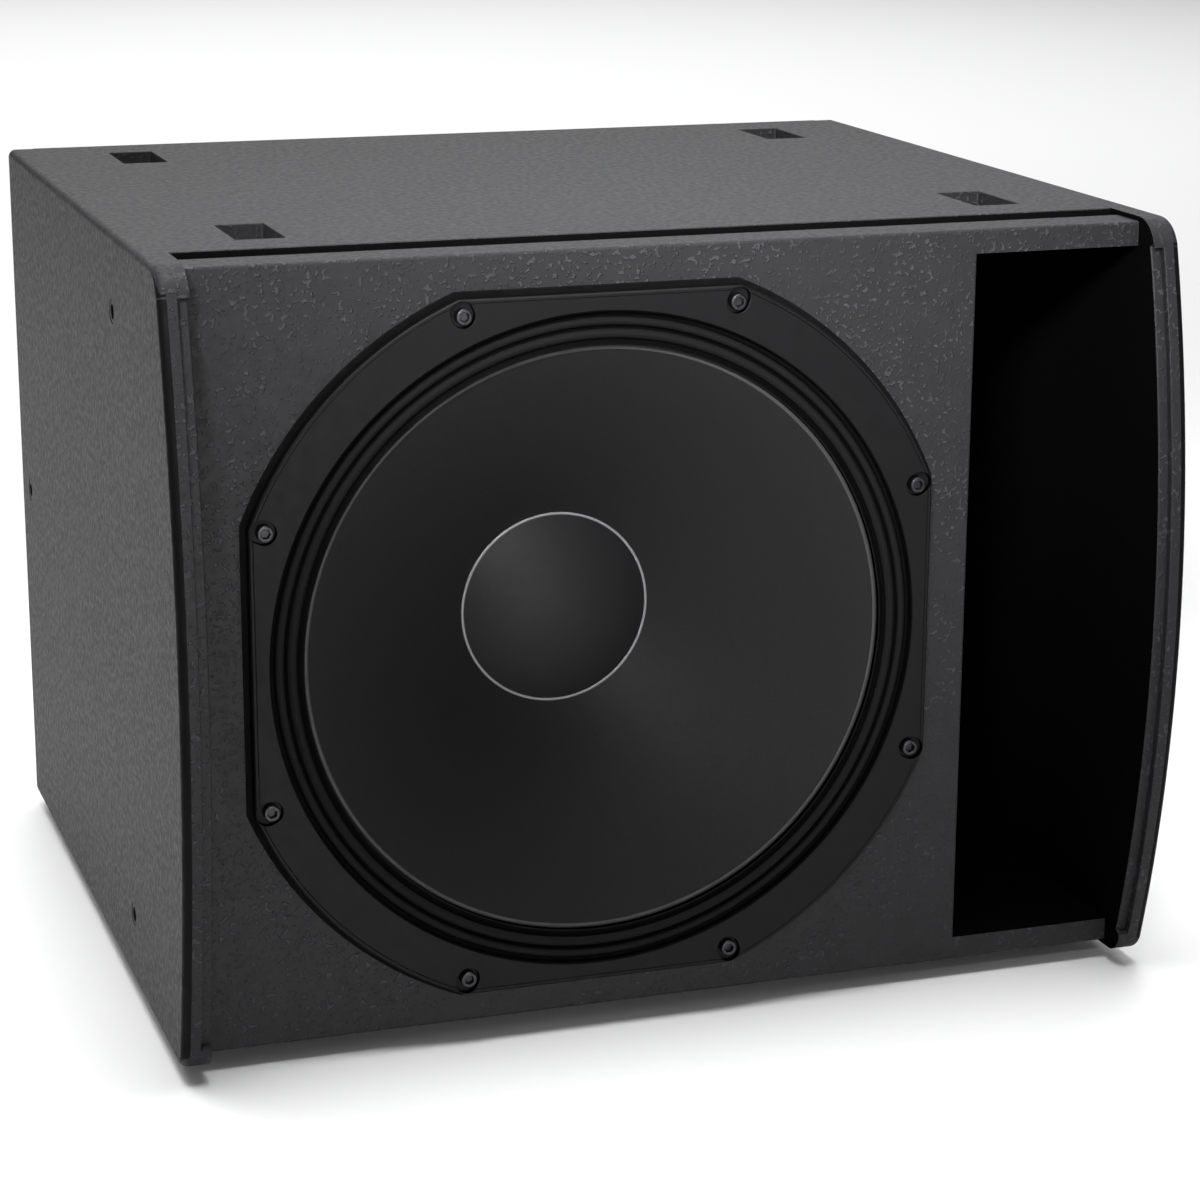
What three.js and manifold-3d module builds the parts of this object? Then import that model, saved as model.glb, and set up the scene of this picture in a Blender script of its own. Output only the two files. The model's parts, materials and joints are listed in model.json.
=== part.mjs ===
// A single 18-inch bass-reflex PA speaker cabinet: birch plywood box with bowed side panels,
// a slot port beside the driver and pockets in the top for the feet of a second cabinet.
// Millimetres, +X right, +Y back, +Z up, origin at the middle of the footprint on the floor.
import * as THREE from 'three';
import { mergeVertices } from 'three/addons/utils/BufferGeometryUtils.js';
import Module from 'manifold-3d';

const wasm = await Module();
wasm.setup();

// ---------- driving dimensions ----------
const GAP = 0.3; // clearance between pieces that are glued or bolted together
const PLY = 18; // plywood thickness
const WIDTH = 632;
const HEIGHT = 478; // wooden box without the feet
const DEPTH = 579; // from the crest of the bowed front edge to the back
const BOW = 33; // rise of the side panels' bowed front edge
const FOOT_HEIGHT = 9;

const BOTTOM = FOOT_HEIGHT;
const TOP = BOTTOM + HEIGHT;
const MIDDLE = BOTTOM + HEIGHT / 2;
const FRONT = -DEPTH / 2; // crest of the bow
const BACK = DEPTH / 2;
const CORNER = FRONT + BOW; // where the bow meets the top and bottom of a side panel
const INSIDE = WIDTH / 2 - PLY; // half of the width between the side panels
const INNER_BOTTOM = BOTTOM + PLY;
const INNER_TOP = TOP - PLY;
const INNER_HEIGHT = INNER_TOP - INNER_BOTTOM;

const BAFFLE_FRONT = CORNER + 16.5;
const BAFFLE_BACK = BAFFLE_FRONT + PLY;
const BACK_PANEL_REAR = BACK - 6; // the back panel sits 6 mm inside the rear rim
const BACK_PANEL_FRONT = BACK_PANEL_REAR - PLY;

const PORT_WIDTH = 108.5;
const PORT_LEFT = INSIDE - PORT_WIDTH;
const DIVIDER_REAR = 165;

const BOW_RADIUS = (BOW * BOW + (HEIGHT / 2) ** 2) / (2 * BOW);
const BOW_CENTRE = FRONT + BOW_RADIUS;
const TOP_CORNER_RADIUS = 22;
const BOTTOM_CORNER_RADIUS = 14;
const REAR_CORNER_RADIUS = 6;

const GRILLE_REBATE = { width: 6.5, depth: 5, end: 15 }; // along the inner side of a bowed edge
const LEDGE = { depth: 38, drop: 3 }; // step across the front of the top and bottom panels
const GROOVE = { width: 9, depth: 4 }; // channel at the ledge's foot for a grille's folded edge
const LEDGE_REAR = BAFFLE_FRONT + LEDGE.depth;

const POCKET = { width: 30, length: 60, depth: 9 };
const FOOT = { width: 26, length: 56 };
const FOOT_X = 236.5;
const FOOT_Y = [CORNER + 118, CORNER + 473];

const CLEAR = 5; // how far a cutting tool runs past the piece it cuts

const DRIVER_X = -53;
const DRIVER_Z = MIDDLE - 2; // the driver sits a little below the middle
const FLANGE_FRONT = BAFFLE_FRONT - 9;
const FLANGE_REAR = BAFFLE_FRONT - 1.6;
const FLANGE_RADIUS = 230;
const FLANGE_FLAT = 213; // distance from the axis to each of the four flats
const CUTOUT_RADIUS = 207;
const BOLT_CIRCLE = 220;
const BOLTS = 8;
const BOLT = { head: 5, rise: 6, shank: 3, length: 34, socket: 2.9, sunk: 4.5, pocket: 6.6, hole: 3.4 };
const GASKET = { thickness: 1, overhang: 3.5, boltHole: 4 };
const SURROUND_OUTER = 201.5;
const SURROUND_LEDGE = 197;
const SURROUND_SEAT = 5.4; // depth of the surround's seat behind the flange's face
const CONE_RADIUS = 181;
const CONE_EDGE_Y = FLANGE_FRONT + 6;
const CONE_DEPTH = 86; // from the edge to the dust cap's glue line
const CAP_RADIUS = 60;
const CONE_WALL = 1.6;
const CAP_RISE = 17;
const COIL_RADIUS = 50;
const ROLL = { height: 1.8, cloth: 1.3 }; // the surround's rolls
const SPIDER = { outer: 105.4, height: 2, cloth: 1 };
const HUB = { inner: 99, outer: 113, front: 97, seat: 111, floor: 123, rear: 130, bore: 58 };
const RIM_DEPTH = 38;
const ARM_WIDTH = 14;
const PLATE_RADIUS = 105; // the motor's steel plates
const MAGNET = { inner: 60, outer: 110, front: 10, rear: 34 };
const VENT_RADIUS = 18;
const TOP_PLATE_FRONT = FLANGE_FRONT + 130.3;

const INSERT_FROM_FLOOR = 48; // rigging inserts on the side panels
const INSERT_FRONT_Y = CORNER + 142;
const INSERT_REAR_Y = CORNER + 506;
const INSERT = { bore: 4.25, radius: 7.4, hole: 7.8, length: 16, sunk: 1.5 };

const ROUND = 36; // sides of the driver's large rings, shared so that their flats line up
const SMALL_ROUND = 24; // sides of the motor's rings

const PANEL_PLATE = { x: DRIVER_X, z: 130, width: 110, height: 150, thickness: 2, corner: 6 };
const PLATE_SCREW = { inset: 8, hole: 2.6, pilot: 2.4 };
const SOCKET_OFFSET = 34;
const SOCKET = { width: 26, height: 31, collar: 3, body: 12.2, mouth: 10.4, depth: 24, bore: 17 };

const PAD_THICKNESS = 25;
const BRACE = { rear: 48, margin: 65, corner: 40 };
const FOOT_SCREW = { recess: 6, hole: 2.4, pilot: 2.2, seat: 5 };
const TERMINAL = { spread: 11, front: 100, drop: 129, length: 9, radius: 3 };
const BRAID_RADIUS = 1.1;
const LEAD_RADIUS = 2;

// ---------- looks ----------
function look(color, roughness, metalness = 0) {
  return new THREE.MeshStandardMaterial({ color, roughness, metalness });
}
const PAINT = look(0x2a2a2c, 0.62);
const BARE_PLY = look(0xb79468, 0.8);
const CAST_FRAME = look(0x202124, 0.5, 0.3);
const PAPER = look(0x26262a, 0.85);
const CLOTH = look(0x1d1d20, 0.9);
const RUBBER = look(0x161616, 0.9);
const BLACK_STEEL = look(0x3a3b3e, 0.45, 0.8);
const ZINC = look(0x9b9da1, 0.4, 0.9);
const FERRITE = look(0x38383a, 0.7, 0.2);
const COPPER = look(0xa8643a, 0.4, 0.9);
const SPIDER_CLOTH = look(0xb08a4a, 0.9);
const FORMER = look(0xc9b27c, 0.6);
const FOAM = look(0x8d8f8a, 0.95);
const PLASTIC = look(0x1b1b1d, 0.5);
const RED_PLASTIC = look(0x8e1c1c, 0.5);

const part = new THREE.Group();
part.name = 'pa_speaker_cabinet';

// ---------- geometry helpers ----------
function merged(geometry) {
  const bare = geometry.clone();
  bare.deleteAttribute('normal');
  bare.deleteAttribute('uv');
  const joined = mergeVertices(bare, 1e-4);
  const kept = [];
  for (let i = 0; i < joined.index.count; i += 3) {
    const [a, b, c] = [0, 1, 2].map((k) => joined.index.getX(i + k));
    if (a !== b && b !== c && c !== a) kept.push(a, b, c);
  }
  joined.setIndex(kept);
  return joined;
}

function facingOut(geometry) {
  const shell = merged(geometry);
  const p = shell.attributes.position;
  const corner = [new THREE.Vector3(), new THREE.Vector3(), new THREE.Vector3()];
  let volume = 0;
  for (let i = 0; i < shell.index.count; i += 3) {
    corner.forEach((v, k) => v.fromBufferAttribute(p, shell.index.getX(i + k)));
    volume += corner[0].dot(corner[1].clone().cross(corner[2]));
  }
  if (volume < 0) shell.setIndex([...shell.index.array].reverse());
  return shell;
}

function solid(geometry) {
  const shell = facingOut(geometry);
  return new wasm.Manifold(new wasm.Mesh({
    numProp: 3,
    vertProperties: new Float32Array(shell.attributes.position.array),
    triVerts: new Uint32Array(shell.index.array),
  }));
}

function geometryOf(manifold) {
  const mesh = manifold.getMesh();
  const geometry = new THREE.BufferGeometry();
  geometry.setAttribute('position', new THREE.BufferAttribute(mesh.vertProperties, 3));
  geometry.setIndex(new THREE.BufferAttribute(mesh.triVerts, 1));
  return geometry;
}

function cut(body, ...tools) {
  return tools.reduce((left, tool) => left.subtract(tool), body);
}

function add(name, shape, material, position = [0, 0, 0]) {
  const geometry = shape.isBufferGeometry ? facingOut(shape) : geometryOf(shape);
  geometry.computeVertexNormals();
  const mesh = new THREE.Mesh(geometry, material);
  mesh.name = name;
  mesh.position.set(...position);
  part.add(mesh);
  return mesh;
}

// A block given by its lowest and highest corner.
function block(low, high) {
  const size = high.map((value, axis) => value - low[axis]);
  const middle = high.map((value, axis) => (value + low[axis]) / 2);
  return new THREE.BoxGeometry(...size).translate(...middle);
}

// A cylinder between two places on a line along one axis.
function rod(axis, radius, start, end, sides = 24) {
  const geometry = new THREE.CylinderGeometry(radius, radius, end - start, sides);
  geometry.translate(0, (start + end) / 2, 0);
  if (axis === 'x') geometry.rotateZ(-Math.PI / 2);
  if (axis === 'z') geometry.rotateX(Math.PI / 2);
  return geometry;
}

// An outline drawn in Y and Z, drawn out along +X.
function alongX(outline, thickness) {
  const geometry = new THREE.ExtrudeGeometry(outline, {
    depth: thickness, bevelEnabled: false, curveSegments: 10,
  });
  const turn = new THREE.Matrix4().makeBasis(
    new THREE.Vector3(0, 1, 0), new THREE.Vector3(0, 0, 1), new THREE.Vector3(1, 0, 0),
  );
  return geometry.applyMatrix4(turn);
}

// An outline drawn in X and Z, drawn out from its place towards the front (-Y).
function towardsFront(outline, thickness, curveSegments = 4) {
  const geometry = new THREE.ExtrudeGeometry(outline, {
    depth: thickness, bevelEnabled: false, curveSegments,
  });
  return geometry.rotateX(Math.PI / 2);
}

// A ring turned about the driver's axis; the profile is a list of [radius, y].
function turned(profile, segments = ROUND) {
  const points = [...profile, profile[0]].map(([radius, y]) => new THREE.Vector2(radius, y));
  return new THREE.LatheGeometry(points, segments);
}

function roundedRectangle(width, height, radius) {
  const [x, z] = [width / 2, height / 2];
  const shape = new THREE.Shape();
  shape.absarc(x - radius, z - radius, radius, 0, Math.PI / 2);
  shape.absarc(-x + radius, z - radius, radius, Math.PI / 2, Math.PI);
  shape.absarc(-x + radius, -z + radius, radius, Math.PI, 1.5 * Math.PI);
  shape.absarc(x - radius, -z + radius, radius, 1.5 * Math.PI, 2 * Math.PI);
  shape.closePath();
  return shape;
}

// ---------- wooden box ----------
// Centre of a round that touches the bowed edge inside and a level line at a height.
function cornerCentre(radius, z) {
  const rise = z - MIDDLE;
  return [BOW_CENTRE - Math.sqrt((BOW_RADIUS - radius) ** 2 - rise ** 2), z];
}

function sideOutline() {
  const [topY, topZ] = cornerCentre(TOP_CORNER_RADIUS, TOP - TOP_CORNER_RADIUS);
  const [lowY, lowZ] = cornerCentre(BOTTOM_CORNER_RADIUS, BOTTOM + BOTTOM_CORNER_RADIUS);
  const topTurn = Math.atan2(topZ - MIDDLE, topY - BOW_CENTRE);
  const lowTurn = Math.atan2(lowZ - MIDDLE, lowY - BOW_CENTRE) + 2 * Math.PI;
  const rear = BACK - REAR_CORNER_RADIUS;
  const shape = new THREE.Shape();
  shape.absarc(topY, topZ, TOP_CORNER_RADIUS, Math.PI / 2, topTurn);
  shape.absarc(BOW_CENTRE, MIDDLE, BOW_RADIUS, topTurn, lowTurn);
  shape.absarc(lowY, lowZ, BOTTOM_CORNER_RADIUS, lowTurn, 1.5 * Math.PI);
  shape.absarc(rear, BOTTOM + REAR_CORNER_RADIUS, REAR_CORNER_RADIUS, -Math.PI / 2, 0);
  shape.absarc(rear, TOP - REAR_CORNER_RADIUS, REAR_CORNER_RADIUS, 0, Math.PI / 2);
  shape.closePath();
  return shape;
}

// What the grille rebate takes away: all that lies ahead of a second, deeper arc.
function rebateTool() {
  const radius = BOW_RADIUS - GRILLE_REBATE.depth;
  const rise = HEIGHT / 2 - GRILLE_REBATE.end;
  const turn = Math.asin(rise / radius);
  const ahead = FRONT - 4 * CLEAR;
  const shape = new THREE.Shape();
  shape.absarc(BOW_CENTRE, MIDDLE, radius, Math.PI - turn, Math.PI + turn);
  shape.lineTo(ahead, MIDDLE - rise);
  shape.lineTo(ahead, MIDDLE + rise);
  shape.closePath();
  return alongX(shape, GRILLE_REBATE.width + 2 * CLEAR);
}

function insertPlaces() {
  return [
    ['front_upper', INSERT_FRONT_Y, TOP - INSERT_FROM_FLOOR],
    ['front_lower', INSERT_FRONT_Y, BOTTOM + INSERT_FROM_FLOOR],
    ['rear', INSERT_REAR_Y, MIDDLE],
  ];
}

function addSidePanel(side, sign) {
  const outer = sign > 0 ? INSIDE : -WIDTH / 2;
  const rebateStart = sign > 0 ? INSIDE - 2 * CLEAR : -INSIDE - GRILLE_REBATE.width;
  const holes = insertPlaces().map(([, y, z]) =>
    solid(rod('x', INSERT.hole, -PLY, PLY, 12).translate(sign * (WIDTH / 2 - PLY / 2), y, z)));
  const panel = cut(
    solid(alongX(sideOutline(), PLY).translate(outer, 0, 0)),
    solid(rebateTool().translate(rebateStart, 0, 0)),
    ...holes,
  );
  add(`side_panel_${side}`, panel, PAINT);
  for (const [place, y, z] of insertPlaces()) {
    const half = INSERT.length / 2;
    const tube = turned([[INSERT.bore, -half], [INSERT.radius, -half], [INSERT.radius, half],
      [INSERT.bore, half]], 12).rotateZ(Math.PI / 2);
    const x = sign * (WIDTH / 2 - INSERT.sunk - half);
    add(`rigging_insert_${side}_${place}`, tube, ZINC, [x, y, z]);
  }
}

function footPlaces() {
  return ['left', 'right'].flatMap((side) => ['front', 'rear'].map((end) => ({
    name: `${end}_${side}`,
    x: side === 'left' ? -FOOT_X : FOOT_X,
    y: FOOT_Y[end === 'front' ? 0 : 1],
  })));
}

function addTopPanel() {
  const half = INSIDE - GAP;
  const pockets = footPlaces().map(({ x, y }) => solid(block(
    [x - POCKET.width / 2, y - POCKET.length / 2, TOP - POCKET.depth],
    [x + POCKET.width / 2, y + POCKET.length / 2, TOP + CLEAR],
  )));
  const step = block([-half - CLEAR, BAFFLE_FRONT - CLEAR, TOP - LEDGE.drop],
    [half + CLEAR, LEDGE_REAR, TOP + CLEAR]);
  const groove = block([-half - CLEAR, LEDGE_REAR - GROOVE.width, TOP - LEDGE.drop - GROOVE.depth],
    [half + CLEAR, LEDGE_REAR, TOP]);
  const panel = solid(block([-half, BAFFLE_FRONT, INNER_TOP], [half, BACK, TOP]));
  add('top_panel', cut(panel, solid(step), solid(groove), ...pockets), PAINT);
}

function addBottomPanel() {
  const half = INSIDE - GAP;
  const step = block([-half - CLEAR, BAFFLE_FRONT - CLEAR, BOTTOM - CLEAR],
    [half + CLEAR, LEDGE_REAR, BOTTOM + LEDGE.drop]);
  const groove = block([-half - CLEAR, LEDGE_REAR - GROOVE.width, BOTTOM],
    [half + CLEAR, LEDGE_REAR, BOTTOM + LEDGE.drop + GROOVE.depth]);
  const screwHoles = footPlaces().map(({ x, y }) =>
    solid(rod('z', FOOT_SCREW.pilot, BOTTOM - CLEAR, INNER_BOTTOM - 3, 12).translate(x, y, 0)));
  const panel = solid(block([-half, BAFFLE_FRONT, BOTTOM], [half, BACK, INNER_BOTTOM]));
  add('bottom_panel', cut(panel, solid(step), solid(groove), ...screwHoles), PAINT);
}

function platePoints() {
  const x = PANEL_PLATE.width / 2 - PLATE_SCREW.inset;
  const z = PANEL_PLATE.height / 2 - PLATE_SCREW.inset;
  return [[-x, -z], [x, -z], [x, z], [-x, z]].map(([dx, dz]) =>
    [PANEL_PLATE.x + dx, PANEL_PLATE.z + dz]);
}

function addBackPanel() {
  const half = INSIDE - GAP;
  const openings = [-SOCKET_OFFSET, SOCKET_OFFSET].map((dz) =>
    solid(rod('y', SOCKET.body + 3.8, BACK_PANEL_FRONT - CLEAR, BACK, 20)
      .translate(PANEL_PLATE.x, 0, PANEL_PLATE.z + dz)));
  const screwHoles = platePoints().map(([x, z]) =>
    solid(rod('y', PLATE_SCREW.pilot, BACK_PANEL_FRONT + 4, BACK, 12).translate(x, 0, z)));
  const panel = solid(block([-half, BACK_PANEL_FRONT, INNER_BOTTOM + GAP],
    [half, BACK_PANEL_REAR, INNER_TOP - GAP]));
  add('back_panel', cut(panel, ...openings, ...screwHoles), PAINT);
}

function boltPlaces() {
  return Array.from({ length: BOLTS }, (_, k) => {
    const angle = ((k + 0.5) * 2 * Math.PI) / BOLTS;
    return [DRIVER_X + BOLT_CIRCLE * Math.cos(angle), DRIVER_Z + BOLT_CIRCLE * Math.sin(angle)];
  });
}

function addBaffle() {
  const tools = boltPlaces().map(([x, z]) =>
    solid(rod('y', BOLT.hole, BAFFLE_FRONT - CLEAR, BAFFLE_BACK + CLEAR, 12).translate(x, 0, z)));
  tools.push(solid(onAxis(
    rod('y', CUTOUT_RADIUS, BAFFLE_FRONT - CLEAR, BAFFLE_BACK + CLEAR, ROUND))));
  const board = solid(block([-INSIDE + GAP, BAFFLE_FRONT, INNER_BOTTOM + GAP],
    [PORT_LEFT, BAFFLE_BACK, INNER_TOP - GAP]));
  add('front_baffle', cut(board, ...tools), PAINT);
}

function addPortDivider() {
  add('port_divider', block([PORT_LEFT - PLY, BAFFLE_BACK + GAP, INNER_BOTTOM + GAP],
    [PORT_LEFT, DIVIDER_REAR, INNER_TOP - GAP]), PAINT);
}

// A ply frame behind the magnet that ties the side, the top, the bottom and the divider.
function addWindowBrace() {
  const [left, right] = [-INSIDE + GAP, PORT_LEFT - PLY - GAP];
  const frame = roundedRectangle(right - left, INNER_HEIGHT - 2 * GAP, 1);
  frame.holes.push(new THREE.Path(
    roundedRectangle(right - left - 2 * BRACE.margin, INNER_HEIGHT - 2 * BRACE.margin, BRACE.corner)
      .getPoints(5).reverse()));
  add('window_brace', towardsFront(frame, PLY, 5), BARE_PLY, [(left + right) / 2, BRACE.rear, MIDDLE]);
}

function addDampingPads() {
  const inner = PORT_LEFT - PLY;
  const deep = PAD_THICKNESS + GAP;
  add('damping_pad_back', block([-INSIDE + 40, BACK_PANEL_FRONT - deep, 235],
    [inner - 40, BACK_PANEL_FRONT - GAP, INNER_TOP - 30]), FOAM);
  add('damping_pad_left', block([-INSIDE + GAP, 70, INNER_BOTTOM + 40],
    [-INSIDE + deep, 225, INNER_TOP - 40]), FOAM);
  add('damping_pad_top', block([-INSIDE + 60, -190, INNER_TOP - deep + 5],
    [inner - 40, 10, INNER_TOP - GAP]), FOAM);
}

// ---------- feet ----------
function screwTool(radius, depth) {
  return solid(rod('z', radius, -1, depth, 12));
}

function addFeet() {
  for (const { name, x, y } of footPlaces()) {
    const pad = floorPad(FOOT.width, FOOT.length, FOOT_HEIGHT - GAP);
    const foot = cut(solid(pad), screwTool(FOOT_SCREW.recess, FOOT_SCREW.seat),
      screwTool(FOOT_SCREW.hole, FOOT_HEIGHT + 1));
    add(`foot_${name}`, foot, RUBBER, [x, y, 0]);
    const screw = panScrew(4.5, 2.5, 1.9, 16).rotateX(Math.PI / 2);
    add(`foot_screw_${name}`, screw, ZINC, [x, y, FOOT_SCREW.seat - GAP]);
  }
}

// A rounded pad lying on the floor, centred on its own origin.
function floorPad(width, length, height) {
  return new THREE.ExtrudeGeometry(roundedRectangle(width, length, 4), {
    depth: height, bevelEnabled: false, curveSegments: 3,
  });
}

// A plain round-headed screw along Y: the head's seat is at y = 0 and the shank runs to +Y.
function panScrew(headRadius, headHeight, shankRadius, length) {
  const profile = [[0, -headHeight], [headRadius * 0.7, -headHeight], [headRadius, 0],
    [shankRadius, 0], [shankRadius, length - 2], [0, length]];
  return new THREE.LatheGeometry(profile.map(([r, y]) => new THREE.Vector2(r, y)), 10);
}

// ---------- driver ----------
function flangeOutline(inset = 0) {
  const radius = FLANGE_RADIUS - inset;
  const flat = FLANGE_FLAT - inset;
  const half = Math.acos(flat / radius);
  const shape = new THREE.Shape();
  for (let quarter = 0; quarter < 4; quarter += 1) {
    const start = (quarter * Math.PI) / 2 + half;
    shape.absarc(0, 0, radius, start, (quarter + 1) * (Math.PI / 2) - half);
  }
  shape.closePath();
  return shape;
}

function onAxis(geometry) {
  return geometry.translate(DRIVER_X, 0, DRIVER_Z);
}

// One cast arm from the rim to the magnet's seat, with its own turn about the axis.
function basketArm(angle) {
  const rim = CUTOUT_RADIUS - 3;
  const y = FLANGE_FRONT;
  const shape = new THREE.Shape([[rim, y + 26], [rim, y + 44], [122, y + 120], [110, y + 120],
    [110, y + HUB.front + 1]].map(([r, depth]) => new THREE.Vector2(r, depth)));
  return new THREE.ExtrudeGeometry(shape, { depth: ARM_WIDTH, bevelEnabled: false })
    .translate(0, 0, -ARM_WIDTH / 2).rotateY(-angle);
}

function addBasket() {
  const y = FLANGE_FRONT;
  const plate = towardsFront(flangeOutline(), FLANGE_REAR - y, 8).translate(0, FLANGE_REAR, 0);
  let frame = cut(solid(plate), solid(rod('y', CUTOUT_RADIUS - 3, y - CLEAR, BAFFLE_BACK, ROUND)));
  const seat = y + SURROUND_SEAT;
  const rim = turned([[SURROUND_OUTER + GAP, y], [CUTOUT_RADIUS - 2, y],
    [CUTOUT_RADIUS - 2, y + RIM_DEPTH], [SURROUND_LEDGE + 2, y + RIM_DEPTH], [SURROUND_LEDGE, y + 12],
    [SURROUND_LEDGE, seat], [SURROUND_OUTER + GAP, seat]]);
  const mouth = SPIDER.outer + 0.6;
  const hub = turned([[mouth, y + HUB.front], [HUB.outer, y + HUB.front], [HUB.outer, y + HUB.rear],
    [HUB.bore, y + HUB.rear], [HUB.bore, y + HUB.floor], [HUB.inner, y + HUB.floor],
    [HUB.inner, y + HUB.seat], [mouth, y + HUB.seat]], SMALL_ROUND);
  frame = frame.add(solid(rim)).add(solid(hub));
  for (let k = 0; k < BOLTS; k += 1) {
    frame = frame.add(solid(basketArm(((k + 0.5) * 2 * Math.PI) / BOLTS)));
  }
  for (const [x, z] of boltPlaces()) {
    const [dx, dz] = [x - DRIVER_X, z - DRIVER_Z];
    frame = cut(frame,
      solid(rod('y', BOLT.hole, y - CLEAR, y + 20, 8).translate(dx, 0, dz)),
      solid(rod('y', BOLT.pocket, y - CLEAR, y + BOLT.sunk, 12).translate(dx, 0, dz)));
  }
  add('driver_basket', frame, CAST_FRAME, [DRIVER_X, 0, DRIVER_Z]);
}

// A foam gasket between the flange and the board, squeezed out a little all round.
function addGasket() {
  const holes = boltPlaces().map(([x, z]) =>
    solid(rod('y', GASKET.boltHole, BAFFLE_FRONT - CLEAR, BAFFLE_FRONT + CLEAR, 8).translate(x, 0, z)));
  holes.push(solid(onAxis(
    rod('y', CUTOUT_RADIUS + 1, BAFFLE_FRONT - CLEAR, BAFFLE_FRONT + CLEAR, ROUND))));
  const sheet = onAxis(towardsFront(flangeOutline(-GASKET.overhang), GASKET.thickness, 8))
    .translate(0, BAFFLE_FRONT - GAP, 0);
  add('driver_gasket', cut(solid(sheet), ...holes), RUBBER);
}

function addDriverBolts() {
  const { head, rise, shank, length, socket } = BOLT;
  const ease = 0.6;
  const hexagon = new THREE.CylinderGeometry(socket, socket, rise + 2, 6).translate(0, -rise - 1, 0);
  const bolt = new THREE.LatheGeometry([[0, -rise], [head - ease, -rise], [head, -rise + ease],
    [head, 0], [shank, 0], [shank, length - 2], [0, length]].map(([r, y]) => new THREE.Vector2(r, y)),
  12);
  const shape = solid(bolt).subtract(solid(hexagon));
  boltPlaces().forEach(([x, z], k) => {
    add(`driver_bolt_${k + 1}`, shape, BLACK_STEEL, [x, FLANGE_FRONT + BOLT.sunk - GAP, z]);
  });
}

// Depth of the cone's front face at a radius, curving inwards towards the coil.
function coneY(radius) {
  const share = (CONE_RADIUS - radius) / (CONE_RADIUS - CAP_RADIUS);
  return CONE_EDGE_Y + CONE_DEPTH * share ** 1.12;
}

function addCone() {
  const radii = [CONE_RADIUS, 152, 122, 90, CAP_RADIUS, COIL_RADIUS + 1.2];
  const front = radii.map((r) => [r, coneY(r)]);
  const rear = radii.map((r) => [r, coneY(r) + CONE_WALL]).reverse();
  add('cone', onAxis(turned([...front, ...rear])), PAPER);
}

function addDustCap() {
  const radius = (CAP_RADIUS ** 2 + CAP_RISE ** 2) / (2 * CAP_RISE);
  const seat = coneY(CAP_RADIUS) - 0.6;
  const dome = (r, offset) => seat + offset - (Math.sqrt(radius ** 2 - r ** 2) - (radius - CAP_RISE));
  const radii = [0, 20, 40, CAP_RADIUS - 1];
  const profile = [...radii.map((r) => [r, dome(r, -1)]), ...radii.map((r) => [r, dome(r, 0)]).reverse()];
  add('dust_cap', onAxis(new THREE.LatheGeometry(
    profile.map(([r, y]) => new THREE.Vector2(r, y)), ROUND)), PAPER);
}

// Three shallow rolls between the cone's edge and the basket's ledge.
function addSurround() {
  const [inner, outer] = [CONE_RADIUS + GAP + 0.3, SURROUND_LEDGE];
  const seat = FLANGE_FRONT + SURROUND_SEAT - GAP;
  const steps = 6;
  const front = Array.from({ length: steps + 1 }, (_, k) => {
    const share = k / steps;
    const wave = ROLL.height * (1 - Math.cos(share * 6 * Math.PI)) * 0.5;
    return [inner + share * (outer - inner), seat - ROLL.cloth - wave];
  });
  const rear = front.map(([r, y]) => [r, y + ROLL.cloth]).reverse();
  const lip = [[SURROUND_OUTER - GAP, seat - ROLL.cloth], [SURROUND_OUTER - GAP, seat]];
  add('surround', onAxis(turned([...front, ...lip, ...rear])), CLOTH);
}

function addSpider() {
  const [inner, outer] = [COIL_RADIUS + 1, SPIDER.outer];
  const seat = FLANGE_FRONT + HUB.seat - GAP;
  const steps = 6;
  const front = Array.from({ length: steps + 1 }, (_, k) => {
    const share = k / steps;
    const wave = SPIDER.height * (1 - Math.cos(share * 6 * Math.PI)) * 0.5;
    return [inner + share * (outer - inner), seat - SPIDER.cloth - wave];
  });
  const rear = front.map(([r, y]) => [r, y + SPIDER.cloth]).reverse();
  add('spider', onAxis(turned([...front, ...rear], SMALL_ROUND)), SPIDER_CLOTH);
}

function addMotor() {
  const y = TOP_PLATE_FRONT;
  const r = COIL_RADIUS;
  add('voice_coil_former', onAxis(turned([[r - 0.3, y - 32], [r + 0.4, y - 32],
    [r + 0.4, y + 18], [r - 0.3, y + 18]], SMALL_ROUND)), FORMER);
  add('voice_coil_winding', onAxis(turned([[r + 0.7, y - 5], [r + 1.8, y - 5],
    [r + 1.8, y + 15], [r + 0.7, y + 15]], SMALL_ROUND)), COPPER);
  const { inner, outer, front, rear } = MAGNET;
  const gapRadius = r + 2.8;
  const poleRadius = r - 1.2;
  add('motor_top_plate', onAxis(turned([[gapRadius, y], [PLATE_RADIUS, y], [PLATE_RADIUS, y + front],
    [gapRadius, y + front]], SMALL_ROUND)), BLACK_STEEL);
  add('motor_magnet', onAxis(turned([[inner, y + front + GAP], [outer, y + front + GAP],
    [outer, y + rear], [inner, y + rear]], SMALL_ROUND)), FERRITE);
  add('motor_pole_plate', onAxis(turned([[VENT_RADIUS, y - 3], [poleRadius, y - 3],
    [poleRadius, y + rear + GAP], [PLATE_RADIUS, y + rear + GAP], [PLATE_RADIUS, y + rear + 11],
    [VENT_RADIUS, y + rear + 11]], SMALL_ROUND)), BLACK_STEEL);
}

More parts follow.
